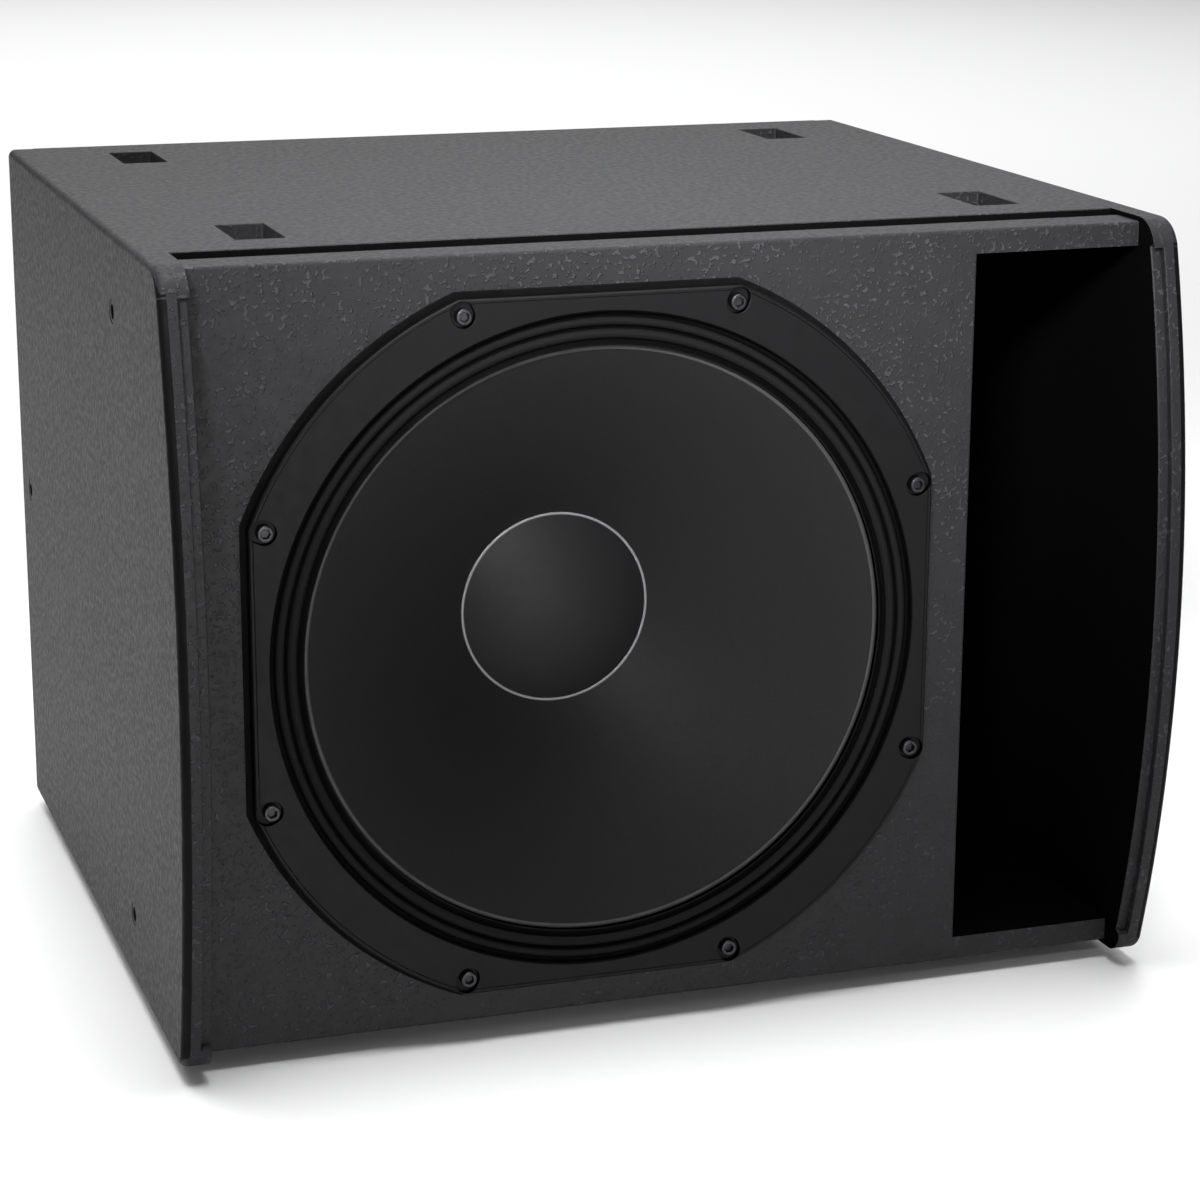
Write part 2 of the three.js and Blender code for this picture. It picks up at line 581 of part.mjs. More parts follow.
// Spring terminals on the basket, with two braided leads that flex with the cone.
function addTerminals() {
  const y = FLANGE_FRONT + TERMINAL.front;
  const underside = DRIVER_Z - TERMINAL.drop;
  add('terminal_block', block([DRIVER_X - 20, y, underside],
    [DRIVER_X + 20, y + 16, DRIVER_Z - HUB.outer - 0.5]), PLASTIC);
  const braid = new THREE.Shape(
    new THREE.Path().absarc(0, 0, BRAID_RADIUS, 0, 2 * Math.PI).getPoints(3));
  for (const [name, sign, material] of [['positive', -1, RED_PLASTIC], ['negative', 1, PLASTIC]]) {
    const x = DRIVER_X + sign * TERMINAL.spread;
    add(`terminal_${name}`, rod('z', TERMINAL.radius, -TERMINAL.length, 0, 12), material,
      [x, y + 8, underside - GAP]);
    const path = new THREE.CatmullRomCurve3([
      new THREE.Vector3(x, y - 0.5, DRIVER_Z - 120),
      new THREE.Vector3(x, y - 16, DRIVER_Z - 121),
      new THREE.Vector3(x * 0.98, y - 26, DRIVER_Z - 112),
      new THREE.Vector3(x * 0.97, coneY(96) + 5, DRIVER_Z - 95),
    ]);
    add(`tinsel_lead_${name}`, new THREE.ExtrudeGeometry(braid, {
      extrudePath: path, steps: 10, bevelEnabled: false,
    }), COPPER);
  }
}

// ---------- connector plate and internal leads ----------
function addConnectorPlate() {
  const { x, z, width, height, thickness, corner } = PANEL_PLATE;
  const front = BACK_PANEL_REAR + GAP;
  const holes = platePoints().map(([px, pz]) =>
    solid(rod('y', PLATE_SCREW.hole, front - CLEAR, front + CLEAR, 12).translate(px, 0, pz)));
  for (const dz of [-SOCKET_OFFSET, SOCKET_OFFSET]) {
    holes.push(solid(rod('y', SOCKET.body + 0.8, front - CLEAR, front + CLEAR, 20)
      .translate(x, 0, z + dz)));
  }
  const plate = towardsFront(roundedRectangle(width, height, corner), thickness, 4)
    .translate(x, front + thickness, z);
  add('connector_plate', cut(solid(plate), ...holes), BLACK_STEEL);
  platePoints().forEach(([px, pz], k) => {
    const screw = panScrew(4.2, 2.4, 2.2, 14).rotateX(Math.PI);
    add(`plate_screw_${k + 1}`, screw, ZINC, [px, front + thickness + GAP, pz]);
  });
}

function addSockets() {
  const face = BACK_PANEL_REAR + PANEL_PLATE.thickness + 2 * GAP;
  for (const [name, dz] of [['upper', SOCKET_OFFSET], ['lower', -SOCKET_OFFSET]]) {
    const collar = solid(towardsFront(
      roundedRectangle(SOCKET.width, SOCKET.height, 4), SOCKET.collar, 4).translate(0, SOCKET.collar, 0));
    const body = solid(rod('y', SOCKET.body, -SOCKET.depth, 1, 20));
    const mouth = solid(rod('y', SOCKET.mouth, -SOCKET.bore, 2 * CLEAR, 20));
    add(`speaker_socket_${name}`, collar.add(body).subtract(mouth), PLASTIC,
      [PANEL_PLATE.x, face, PANEL_PLATE.z + dz]);
  }
}

// Two insulated leads from the upper socket through the brace's window to the terminals.
function addInternalLeads() {
  const socketRear = BACK_PANEL_REAR + PANEL_PLATE.thickness - SOCKET.depth;
  const section = new THREE.Shape(
    new THREE.Path().absarc(0, 0, LEAD_RADIUS, 0, 2 * Math.PI).getPoints(3));
  for (const [name, sign, material] of [['positive', -1, RED_PLASTIC], ['negative', 1, PLASTIC]]) {
    const path = new THREE.CatmullRomCurve3([
      new THREE.Vector3(DRIVER_X + sign * 5, socketRear, PANEL_PLATE.z + SOCKET_OFFSET),
      new THREE.Vector3(DRIVER_X + sign * 6, socketRear - 50, PANEL_PLATE.z + 22),
      new THREE.Vector3(DRIVER_X + sign * 14, 120, 118),
      new THREE.Vector3(DRIVER_X + sign * 12, 0, 104),
      new THREE.Vector3(DRIVER_X + sign * TERMINAL.spread, -100, 92),
      new THREE.Vector3(DRIVER_X + sign * TERMINAL.spread, FLANGE_FRONT + 112, 96),
      new THREE.Vector3(DRIVER_X + sign * TERMINAL.spread, FLANGE_FRONT + 108, DRIVER_Z - 139.5),
    ]);
    add(`internal_lead_${name}`, new THREE.ExtrudeGeometry(section, {
      extrudePath: path, steps: 20, bevelEnabled: false,
    }), material);
  }
}

addSidePanel('left', -1);
addSidePanel('right', 1);
addTopPanel();
addBottomPanel();
addBackPanel();
addBaffle();
addPortDivider();
addWindowBrace();
addDampingPads();
addFeet();
addBasket();
addGasket();
addDriverBolts();
addCone();
addDustCap();
addSurround();
addSpider();
addMotor();
addTerminals();
addConnectorPlate();
addSockets();
addInternalLeads();

export default part;
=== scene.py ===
"""The looks of a PA speaker cabinet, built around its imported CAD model.

Metres, in the CAD model's frame: +X to the right, +Y towards the back, +Z up; the driver faces -Y.
"""

import json
import math

import bmesh
import bpy
from mathutils import Matrix, Vector
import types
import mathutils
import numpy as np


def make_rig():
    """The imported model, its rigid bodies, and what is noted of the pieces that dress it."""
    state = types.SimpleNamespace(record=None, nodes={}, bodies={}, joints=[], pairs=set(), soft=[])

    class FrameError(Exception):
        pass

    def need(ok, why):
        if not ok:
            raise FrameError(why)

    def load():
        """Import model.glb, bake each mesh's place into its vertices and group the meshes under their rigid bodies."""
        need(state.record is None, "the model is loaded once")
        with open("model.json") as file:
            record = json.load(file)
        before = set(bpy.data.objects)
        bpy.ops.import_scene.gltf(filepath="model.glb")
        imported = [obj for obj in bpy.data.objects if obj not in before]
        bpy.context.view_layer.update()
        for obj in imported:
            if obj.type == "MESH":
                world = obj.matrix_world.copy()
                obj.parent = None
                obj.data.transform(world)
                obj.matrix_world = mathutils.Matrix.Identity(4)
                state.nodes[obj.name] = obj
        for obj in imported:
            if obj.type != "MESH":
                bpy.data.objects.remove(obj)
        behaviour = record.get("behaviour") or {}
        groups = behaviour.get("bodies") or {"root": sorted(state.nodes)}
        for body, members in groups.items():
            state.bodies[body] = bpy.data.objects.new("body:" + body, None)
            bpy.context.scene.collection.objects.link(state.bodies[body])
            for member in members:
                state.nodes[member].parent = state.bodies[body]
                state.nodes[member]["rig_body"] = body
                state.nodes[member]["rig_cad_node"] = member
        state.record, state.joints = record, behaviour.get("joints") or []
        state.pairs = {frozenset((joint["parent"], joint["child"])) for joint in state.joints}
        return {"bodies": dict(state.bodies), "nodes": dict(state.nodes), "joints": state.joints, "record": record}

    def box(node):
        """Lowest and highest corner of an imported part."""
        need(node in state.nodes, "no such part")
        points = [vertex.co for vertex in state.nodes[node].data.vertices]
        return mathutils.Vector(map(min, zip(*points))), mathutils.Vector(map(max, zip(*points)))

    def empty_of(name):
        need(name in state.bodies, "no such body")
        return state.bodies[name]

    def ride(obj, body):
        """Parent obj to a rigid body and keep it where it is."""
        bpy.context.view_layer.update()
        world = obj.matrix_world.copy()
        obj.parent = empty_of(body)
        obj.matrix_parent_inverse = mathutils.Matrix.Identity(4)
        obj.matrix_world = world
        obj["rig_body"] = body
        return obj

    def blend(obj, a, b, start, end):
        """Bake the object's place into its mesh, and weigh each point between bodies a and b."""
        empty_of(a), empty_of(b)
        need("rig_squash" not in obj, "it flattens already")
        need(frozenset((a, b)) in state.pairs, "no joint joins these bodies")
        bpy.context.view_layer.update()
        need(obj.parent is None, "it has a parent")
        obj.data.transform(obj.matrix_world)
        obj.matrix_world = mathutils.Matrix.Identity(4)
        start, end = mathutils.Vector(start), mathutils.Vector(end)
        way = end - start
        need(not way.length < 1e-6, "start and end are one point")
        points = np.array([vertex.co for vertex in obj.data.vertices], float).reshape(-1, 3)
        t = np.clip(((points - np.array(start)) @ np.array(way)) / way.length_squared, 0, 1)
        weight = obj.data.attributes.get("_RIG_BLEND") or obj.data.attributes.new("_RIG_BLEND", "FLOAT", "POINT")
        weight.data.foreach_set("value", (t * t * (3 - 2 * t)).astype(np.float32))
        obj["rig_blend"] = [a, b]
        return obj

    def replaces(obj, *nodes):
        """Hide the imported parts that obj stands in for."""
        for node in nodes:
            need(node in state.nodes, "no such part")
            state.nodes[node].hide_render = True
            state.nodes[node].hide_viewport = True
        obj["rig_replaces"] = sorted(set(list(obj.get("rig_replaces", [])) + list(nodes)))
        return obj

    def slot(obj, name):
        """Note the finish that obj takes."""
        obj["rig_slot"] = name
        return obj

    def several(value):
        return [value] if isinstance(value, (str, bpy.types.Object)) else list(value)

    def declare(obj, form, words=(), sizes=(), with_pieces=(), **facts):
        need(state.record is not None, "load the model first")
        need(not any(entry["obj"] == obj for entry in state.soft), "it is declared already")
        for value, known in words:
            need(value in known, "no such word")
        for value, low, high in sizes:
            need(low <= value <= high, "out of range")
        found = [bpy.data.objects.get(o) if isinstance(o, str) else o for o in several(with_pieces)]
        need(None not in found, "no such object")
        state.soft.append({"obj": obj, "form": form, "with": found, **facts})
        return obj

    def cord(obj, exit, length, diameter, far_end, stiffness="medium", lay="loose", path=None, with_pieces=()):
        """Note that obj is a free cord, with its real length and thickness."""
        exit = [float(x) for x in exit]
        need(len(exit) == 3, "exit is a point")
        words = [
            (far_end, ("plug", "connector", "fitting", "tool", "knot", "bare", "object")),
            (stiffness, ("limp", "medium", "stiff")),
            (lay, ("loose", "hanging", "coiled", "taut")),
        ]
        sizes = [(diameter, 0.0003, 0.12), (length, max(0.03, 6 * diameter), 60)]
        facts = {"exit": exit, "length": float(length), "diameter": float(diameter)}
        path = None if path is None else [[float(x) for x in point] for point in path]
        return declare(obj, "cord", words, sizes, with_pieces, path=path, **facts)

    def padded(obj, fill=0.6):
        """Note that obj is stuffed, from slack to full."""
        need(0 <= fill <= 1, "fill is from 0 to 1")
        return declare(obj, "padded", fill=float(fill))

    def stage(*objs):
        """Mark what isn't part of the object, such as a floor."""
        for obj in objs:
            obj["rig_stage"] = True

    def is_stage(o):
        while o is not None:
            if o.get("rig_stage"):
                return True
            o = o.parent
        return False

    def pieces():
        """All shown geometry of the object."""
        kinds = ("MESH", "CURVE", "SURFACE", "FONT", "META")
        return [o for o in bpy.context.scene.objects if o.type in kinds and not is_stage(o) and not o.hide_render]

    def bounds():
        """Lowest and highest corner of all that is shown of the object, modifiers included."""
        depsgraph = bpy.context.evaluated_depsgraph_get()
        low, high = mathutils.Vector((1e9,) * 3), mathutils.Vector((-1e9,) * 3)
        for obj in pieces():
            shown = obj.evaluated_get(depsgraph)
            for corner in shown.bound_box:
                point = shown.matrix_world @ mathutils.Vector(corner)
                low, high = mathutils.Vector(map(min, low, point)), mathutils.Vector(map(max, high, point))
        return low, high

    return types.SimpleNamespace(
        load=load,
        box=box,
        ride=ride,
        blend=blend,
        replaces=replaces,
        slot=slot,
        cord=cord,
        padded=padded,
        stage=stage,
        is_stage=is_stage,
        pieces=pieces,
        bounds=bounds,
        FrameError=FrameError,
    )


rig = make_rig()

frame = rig.load()
CAD_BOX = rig.bounds()
MM = 0.001

# ---------- sizes read from the frame ----------
SIDE_LOW, SIDE_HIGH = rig.box("side_panel_right")
BAFFLE_LOW, BAFFLE_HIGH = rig.box("front_baffle")
BASKET_LOW, BASKET_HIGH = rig.box("driver_basket")
CONE_LOW, CONE_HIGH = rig.box("cone")
SPIDER_LOW, SPIDER_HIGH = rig.box("spider")

OUT = SIDE_HIGH.x  # outer face of the right side panel
INSIDE = SIDE_LOW.x  # its inner face
FRONT, BACK = SIDE_LOW.y, SIDE_HIGH.y
BOTTOM, TOP = SIDE_LOW.z, SIDE_HIGH.z
MIDDLE = (BOTTOM + TOP) / 2
HALF_HEIGHT = (TOP - BOTTOM) / 2
PLY = OUT - INSIDE
INNER_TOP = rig.box("top_panel")[0].z
INNER_BOTTOM = BOTTOM + TOP - INNER_TOP
BAFFLE_FRONT, BAFFLE_BACK = BAFFLE_LOW.y, BAFFLE_LOW.y + PLY
PORT_LEFT = BAFFLE_HIGH.x

BOW = 33 * MM  # rise of the bowed front edges
BOW_RADIUS = (BOW**2 + HALF_HEIGHT**2) / (2 * BOW)
BOW_CENTRE = FRONT + BOW_RADIUS
TOP_CORNER = 22 * MM
LOW_CORNER = 14 * MM
REAR_CORNER = 6 * MM
OUTER_ROUND = 5 * MM
REBATE_WIDTH = 6.5 * MM
REBATE_DEPTH = 5 * MM
REBATE_RISE = HALF_HEIGHT - 15 * MM
LEDGE_DEPTH = 38 * MM
LEDGE_DROP = 3 * MM
GROOVE_WIDTH = 9 * MM  # channel at the ledge's foot
GROOVE_DEPTH = 4 * MM
# How far the black gasket reaches past the flange, standing in for the shadow round it.
GASKET_SHADOW_OVERHANG = 3.5 * MM

AXIS_X = (CONE_LOW.x + CONE_HIGH.x) / 2  # the driver's axis
AXIS_Z = (CONE_LOW.z + CONE_HIGH.z) / 2
FLANGE_FRONT = BASKET_LOW.y
FLANGE_REAR = FLANGE_FRONT + 7.4 * MM
FLANGE_FLAT = (BASKET_HIGH.x - BASKET_LOW.x) / 2
FLANGE_RADIUS = 230 * MM
CUTOUT_RADIUS = 207 * MM
BOLT_CIRCLE = 220 * MM
SEAT_RADIUS = 201.8 * MM  # inner edge of the flange, around the surround
SEAT_DEPTH = 5.4 * MM
RIM_DEPTH = 38 * MM
RIM_RADIUS = 205 * MM
CONE_RADIUS = (CONE_HIGH.x - CONE_LOW.x) / 2
CONE_EDGE = CONE_LOW.y
CAP_RADIUS = 60 * MM
CONE_DEPTH = 86 * MM
CAP_RISE = 17 * MM
BOLT_RISE = 1.8 * MM  # how far a bolt's head stands out of the flange
BOLT_HEAD = 4.85 * MM
BOLT_SHANK = 3 * MM
INSERT_LENGTH = 16 * MM
INSERT_BORE = 4.2 * MM
THREAD_PITCH = 1.25 * MM
LEAD_RADIUS = 2 * MM
BRAID_RADIUS = 1.1 * MM
SOCKET_WIDTH, SOCKET_HEIGHT = 26 * MM, 31 * MM
SOCKET_MOUTH = 10.4 * MM  # radii of the mouth and of the barrel around it
SOCKET_BARREL = 12.2 * MM
SOCKET_DEPTH = 17 * MM
FEET = [f"foot_{place}" for place in ("front_left", "front_right", "rear_left", "rear_right")]

CAMERA_ANGLES = (-18.71, 15.29, 0.24)  # azimuth, elevation and roll in degrees, fitted to the photograph
CAMERA_PLACE = (-0.637, -1.970, 0.771)
CAMERA_LENS = 94.9  # millimetres, on a sensor 36 mm wide
FLOOR_HALF = 30.0


# ---------- mesh helpers ----------
def loft(rings, wrap=False):
    """Vertices and faces of rings of points, each joined to the next; wrap joins the last to the first."""
    count = len(rings[0])
    verts = [Vector(p) for ring in rings for p in ring]
    faces = []
    for k in range(len(rings) if wrap else len(rings) - 1):
        a = k * count
        b = (k + 1) % len(rings) * count
        for i in range(count):
            j = (i + 1) % count
            faces.append((a + i, a + j, b + j, b + i))
    if not wrap:
        faces.append(tuple(range(count)))
        faces.append(tuple(range(len(verts) - count, len(verts))))
    return verts, faces


def closed_mesh(name, shells):
    """One mesh of closed shells, with doubled points merged and faces turned outwards."""
    bm = bmesh.new()
    for verts, faces in shells:
        made = [bm.verts.new(v) for v in verts]
        for face in faces:
            bm.faces.new([made[i] for i in face])
    bmesh.ops.remove_doubles(bm, verts=bm.verts, dist=1e-6)
    bmesh.ops.dissolve_degenerate(bm, dist=1e-7, edges=bm.edges)
    bmesh.ops.recalc_face_normals(bm, faces=bm.faces)
    mesh = bpy.data.meshes.new(name)
    bm.to_mesh(mesh)
    bm.free()
    return mesh


def link(name, mesh):
    piece = bpy.data.objects.new(name, mesh)
    bpy.context.scene.collection.objects.link(piece)
    return piece


def carve(piece, shells):
    """Cuts closed shells out of a piece."""
    cutter = link(piece.name + "_cutter", closed_mesh("cutter", shells))
    cut = piece.modifiers.new("cut", "BOOLEAN")
    cut.operation = "DIFFERENCE"
    cut.solver = "EXACT"
    cut.object = cutter
    settle(piece)
    bpy.data.objects.remove(cutter)


def settle(piece):
    """Applies a piece's modifiers."""
    graph = bpy.context.evaluated_depsgraph_get()
    mesh = bpy.data.meshes.new_from_object(piece.evaluated_get(graph))
    piece.modifiers.clear()
    piece.data = mesh


def dress(piece, materials, body, stands_for=(), slot=None, choose=None, smooth=38):
    """Gives a piece its materials, shading and CAD body. choose(centre, normal) picks a face's material."""
    mesh = piece.data
    mesh.materials.clear()
    for material in materials:
        mesh.materials.append(material)
    for face in mesh.polygons:
        face.material_index = choose(face.center, face.normal) if choose else 0
        face.use_smooth = True
    mesh.set_sharp_from_angle(angle=math.radians(smooth))
    weighted = piece.modifiers.new("even_shading", "WEIGHTED_NORMAL")
    weighted.keep_sharp = True
    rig.ride(piece, body)
    if stands_for:
        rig.replaces(piece, *stands_for)
    if slot:
        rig.slot(piece, slot)
    return piece


def coat_smoothly(piece, material):
    piece.data.materials.append(material)
    for face in piece.data.polygons:
        face.use_smooth = True


def build(name, shells, materials, body="cabinet", **rest):
    return dress(link(name, closed_mesh(name, shells)), materials, body, **rest)


def circle(centre, radius, along, sides, axis="y"):
    """Points of a circle about an axis through a centre, at a place along that axis."""
    ring = []
    for k in range(sides):
        angle = 2 * math.pi * k / sides
        u = radius * math.cos(angle)
        v = radius * math.sin(angle)
        if axis == "y":
            ring.append((centre.x + u, along, centre.z + v))
        elif axis == "x":
            ring.append((along, centre.y + u, centre.z + v))
        else:
            ring.append((centre.x + u, centre.y + v, along))
    return ring


def turned(profile, sides=160, centre=None, axis="y"):
    """A closed profile of (radius, place along the axis) turned all the way round."""
    centre = centre or Vector((AXIS_X, 0, AXIS_Z))
    return loft([circle(centre, radius, along, sides, axis) for radius, along in profile], wrap=True)


def round_box(width, height, radius, grow=0.0, steps=6):
    """Outline of a rectangle with round corners, as (u, v) points."""
    points = []
    for turn, (su, sv) in enumerate(((1, 1), (-1, 1), (-1, -1), (1, -1))):
        for k in range(steps + 1):
            angle = math.pi / 2 * (turn + k / steps)
            points.append((
                su * (width / 2 - radius) + (radius + grow) * math.cos(angle),
                sv * (height / 2 - radius) + (radius + grow) * math.sin(angle),
            ))
    return points


def lip_stations(lip, floor, face, beyond, steps=4):
    """(growth, place) pairs of a cutter that leaves a rounded rim where it meets a face."""
    toward = 1 if face > floor else -1
    stations = [(0, floor)]
    for k in range(steps + 1):
        angle = math.pi / 2 * k / steps
        stations.append((lip * (1 - math.cos(angle)), face - toward * lip * (1 - math.sin(angle))))
    stations.append((lip, face + toward * beyond))
    return stations


# ---------- material helpers ----------
class Look:
    """A procedural material: a Principled shader with chains of bump and variation added to it."""

    def __init__(self, name, color, roughness, metallic=0.0, specular=0.5):
        self.material = bpy.data.materials.new(name)
        self.material.use_nodes = True
        self.tree = self.material.node_tree
        self.shader = self.tree.nodes["Principled BSDF"]
        self.shader.inputs["Base Color"].default_value = (*color, 1)
        self.shader.inputs["Roughness"].default_value = roughness
        self.shader.inputs["Metallic"].default_value = metallic
        self.shader.inputs["Specular IOR Level"].default_value = specular
        self.material.diffuse_color = (*color, 1)
        self.place = self.node("ShaderNodeTexCoord").outputs["Object"]
        self.last_bump = None

    def node(self, kind, **values):
        made = self.tree.nodes.new(kind)
        for key, value in values.items():
            setattr(made, key, value)
        return made

    def join(self, source, target):
        self.tree.links.new(source, target)

    def stretched(self, scale):
        """The place on the object, stretched along X, Y and Z."""
        mapping = self.node("ShaderNodeMapping")
        self.join(self.place, mapping.inputs["Vector"])
        mapping.inputs["Scale"].default_value = scale
        return mapping.outputs["Vector"]

    def noise(self, scale, detail=3.0, roughness=0.5, place=None):
        made = self.node("ShaderNodeTexNoise")
        made.inputs["Scale"].default_value = scale
        made.inputs["Detail"].default_value = detail
        made.inputs["Roughness"].default_value = roughness
        self.join(place or self.place, made.inputs["Vector"])
        return made.outputs["Fac"]

    def wave(self, scale, direction, distortion):
        made = self.node("ShaderNodeTexWave", wave_type="BANDS", bands_direction=direction)
        made.inputs["Scale"].default_value = scale
        made.inputs["Distortion"].default_value = distortion
        self.join(self.place, made.inputs["Vector"])
        return made.outputs["Fac"]

    def ranged(self, value, low, high, to_low=0.0, to_high=1.0):
        made = self.node("ShaderNodeMapRange", interpolation_type="SMOOTHSTEP")
        made.inputs["From Min"].default_value = low
        made.inputs["From Max"].default_value = high
        made.inputs["To Min"].default_value = to_low
        made.inputs["To Max"].default_value = to_high
        self.join(value, made.inputs["Value"])
        return made.outputs["Result"]

    def maths(self, operation, a, b):
        made = self.node("ShaderNodeMath", operation=operation)
        for socket, value in zip(made.inputs, (a, b)):
            if isinstance(value, (int, float)):
                socket.default_value = value
            else:
                self.join(value, socket)
        return made.outputs["Value"]

    def bump(self, height, depth):
        """Adds relief of that depth, in metres, on top of what is there."""
        made = self.node("ShaderNodeBump")
        made.inputs["Strength"].default_value = 1.0
        made.inputs["Distance"].default_value = depth
        self.join(height, made.inputs["Height"])
        if self.last_bump:
            self.join(self.last_bump, made.inputs["Normal"])
        self.last_bump = made.outputs["Normal"]
        self.join(self.last_bump, self.shader.inputs["Normal"])
        return self

    def tint(self, value, *colors):
        """Colours the surface by a value from 0 to 1, evenly spread over the colours."""
        ramp = self.node("ShaderNodeValToRGB")
        for k, color in enumerate(colors):
            if k < 2:
                element = ramp.color_ramp.elements[k]
                element.position = k / (len(colors) - 1)
            else:
                element = ramp.color_ramp.elements.new(k / (len(colors) - 1))
            element.color = (*color, 1)
        self.join(value, ramp.inputs["Fac"])
        self.join(ramp.outputs["Color"], self.shader.inputs["Base Color"])
        return self

    def gloss(self, value, low, high):
        """Spreads the roughness between two values."""
        self.join(self.ranged(value, 0.3, 0.7, low, high), self.shader.inputs["Roughness"])
        return self


def shade(color, share):
    return tuple(c * share for c in color)


def textured_paint(name, color, roughness, blob_depth):
    """Structured paint: small raised specks that gather in patches, over a fine peel; the specks are also coloured
    lighter as a painted glint.
    """
    look = Look(name, color, roughness, specular=0.2)
    blobs = look.ranged(look.noise(330, 1.5, 0.45), 0.57, 0.64)
    patches = look.ranged(look.noise(20, 3), 0.38, 0.6, 0.3, 1.0)
    specks = look.maths("MULTIPLY", blobs, patches)
    look.bump(specks, blob_depth)
    look.bump(look.noise(620, 2), 0.1 * MM)
    # Where the specks rise, the colour turns up to 2.3 times lighter: a painted glint on them.
    look.tint(look.maths("ADD", specks, look.ranged(look.noise(90, 2), 0.3, 0.7, 0.0, 0.3)),
              shade(color, 0.9), shade(color, 1.1), shade(color, 2.3))
    look.gloss(look.noise(240, 2), roughness - 0.06, roughness + 0.08)
    return look.material


def powder_coat(name, color, roughness, grain=0.04 * MM, specular=0.5):
    look = Look(name, color, roughness, specular=specular)
    look.bump(look.noise(900, 3), grain)
    look.tint(look.noise(35, 4), shade(color, 0.85), shade(color, 1.15))
    look.gloss(look.noise(120, 3), roughness - 0.06, roughness + 0.08)
    return look.material


def bare_metal(name, color, roughness, scratch_along=(1.0, 1.0, 30.0)):
    look = Look(name, color, roughness, metallic=1.0)
    scratches = look.noise(260, 4, 0.6, look.stretched(scratch_along))
    look.bump(scratches, 0.015 * MM)
    look.tint(look.noise(160, 4), shade(color, 0.7), color)
    look.gloss(scratches, roughness - 0.1, roughness + 0.12)
    return look.material


def pressed_paper(name, color, roughness):
    look = Look(name, color, roughness, specular=0.16)
    fibres = look.noise(620, 5, 0.65)
    look.bump(fibres, 0.03 * MM)
    look.bump(look.noise(60, 3), 0.12 * MM)
    look.tint(look.noise(240, 4), shade(color, 0.75), color, shade(color, 1.3))
    look.gloss(fibres, roughness - 0.08, roughness + 0.08)
    return look.material


def woven_cloth(name, color, roughness, depth=0.12 * MM, specular=0.35):
    """Plain weave: two sets of threads that cross."""
    look = Look(name, color, roughness, specular=specular)
    threads = 1 / (1.1 * MM * 2 * math.pi)
    warp = look.wave(threads, "X", 0.6)
    weft = look.wave(threads, "Z", 0.6)
    weave = look.maths("MULTIPLY", warp, weft)
    look.bump(weave, depth)
    look.bump(look.noise(800, 3), 0.03 * MM)
    look.tint(weave, shade(color, 0.65), shade(color, 1.3))
    return look.material


def moulded_plastic(name, color, roughness):
    look = Look(name, color, roughness, specular=0.5)
    look.bump(look.noise(1600, 2), 0.02 * MM)
    look.tint(look.noise(50, 3), shade(color, 0.88), shade(color, 1.12))
    look.gloss(look.noise(90, 3), roughness - 0.05, roughness + 0.07)
    return look.material


def plywood(name, color):
    """Birch ply: grain along the face and thin layers across the edge."""
    look = Look(name, color, 0.7, specular=0.25)
    grain = look.noise(38, 6, 0.6, look.stretched((1.0, 1.0, 14.0)))
    layers = look.wave(95, "Y", 0.25)
    look.bump(grain, 0.12 * MM)
    look.tint(look.maths("MULTIPLY", grain, look.ranged(layers, 0.1, 0.6, 0.6, 1.0)),
              shade(color, 0.45), color, shade(color, 1.35))
    return look.material


def felt(name, color):
    look = Look(name, color, 0.97, specular=0.1)
    look.bump(look.noise(420, 6, 0.7), 0.5 * MM)
    look.bump(look.noise(60, 4), 1.5 * MM)
    look.tint(look.noise(300, 5), shade(color, 0.5), color, shade(color, 1.5))
    return look.material


PAINT = textured_paint("structured_black_paint", (0.0113, 0.0113, 0.0125), 0.54, 0.6 * MM)
# Black inner paint, made far darker than real paint as painted shade inside the box and the port.
INNER_PAINT_AND_SHADE = powder_coat("inner_black_paint_and_shade", (0.0005, 0.0005, 0.0006), 0.95, specular=0.03)
FRAME_COAT = powder_coat("driver_frame_coat", (0.0024, 0.0024, 0.0028), 0.5, 0.015 * MM, 0.13)
# Near-black for walls, grooves and bores where shade falls: painted shade.
PAINTED_SHADE_BLACK = powder_coat("recess_painted_shade_black", (0.0008, 0.0008, 0.0008), 0.75, specular=0.05)
# Near-black for the front of the side panels' outer round: painted shade.
EDGE_PAINTED_SHADE = powder_coat("edge_painted_shade_black", (0.0016, 0.0016, 0.0018), 0.6, 0.12 * MM, 0.08)
# Black foam, also standing in for the shadow round the flange.
GASKET_FOAM_AND_SHADE = powder_coat("gasket_foam_and_shade", (0.0008, 0.0008, 0.0008), 0.9, 0.12 * MM, 0.1)
BOLT_BLACK = bare_metal("black_oxide_steel", (0.05, 0.05, 0.054), 0.4)
CONE_PAPER = pressed_paper("cone_paper", (0.0055, 0.0055, 0.006), 0.6)
CAP_PAPER = pressed_paper("cap_paper", (0.006, 0.006, 0.0066), 0.6)
GLUE = moulded_plastic("glue_bead", (0.12, 0.12, 0.123), 0.4)
EDGE_DOPE = moulded_plastic("cone_edge_dope", (0.014, 0.014, 0.015), 0.6)
SURROUND_CLOTH = woven_cloth("doped_cloth", (0.004, 0.004, 0.0043), 0.78, depth=0.03 * MM, specular=0.12)
SPIDER_CLOTH = woven_cloth("resin_cloth", (0.42, 0.26, 0.1), 0.75)
RUBBER = powder_coat("black_rubber", (0.014, 0.014, 0.014), 0.8)
ZINC = bare_metal("zinc_plate", (0.5, 0.51, 0.53), 0.34)
COATED_STEEL = powder_coat("black_coated_steel", (0.016, 0.016, 0.017), 0.42)
COPPER = bare_metal("copper_wire", (0.62, 0.28, 0.14), 0.35, (1.0, 40.0, 1.0))
FERRITE = powder_coat("ferrite", (0.05, 0.05, 0.052), 0.75, 0.15 * MM)
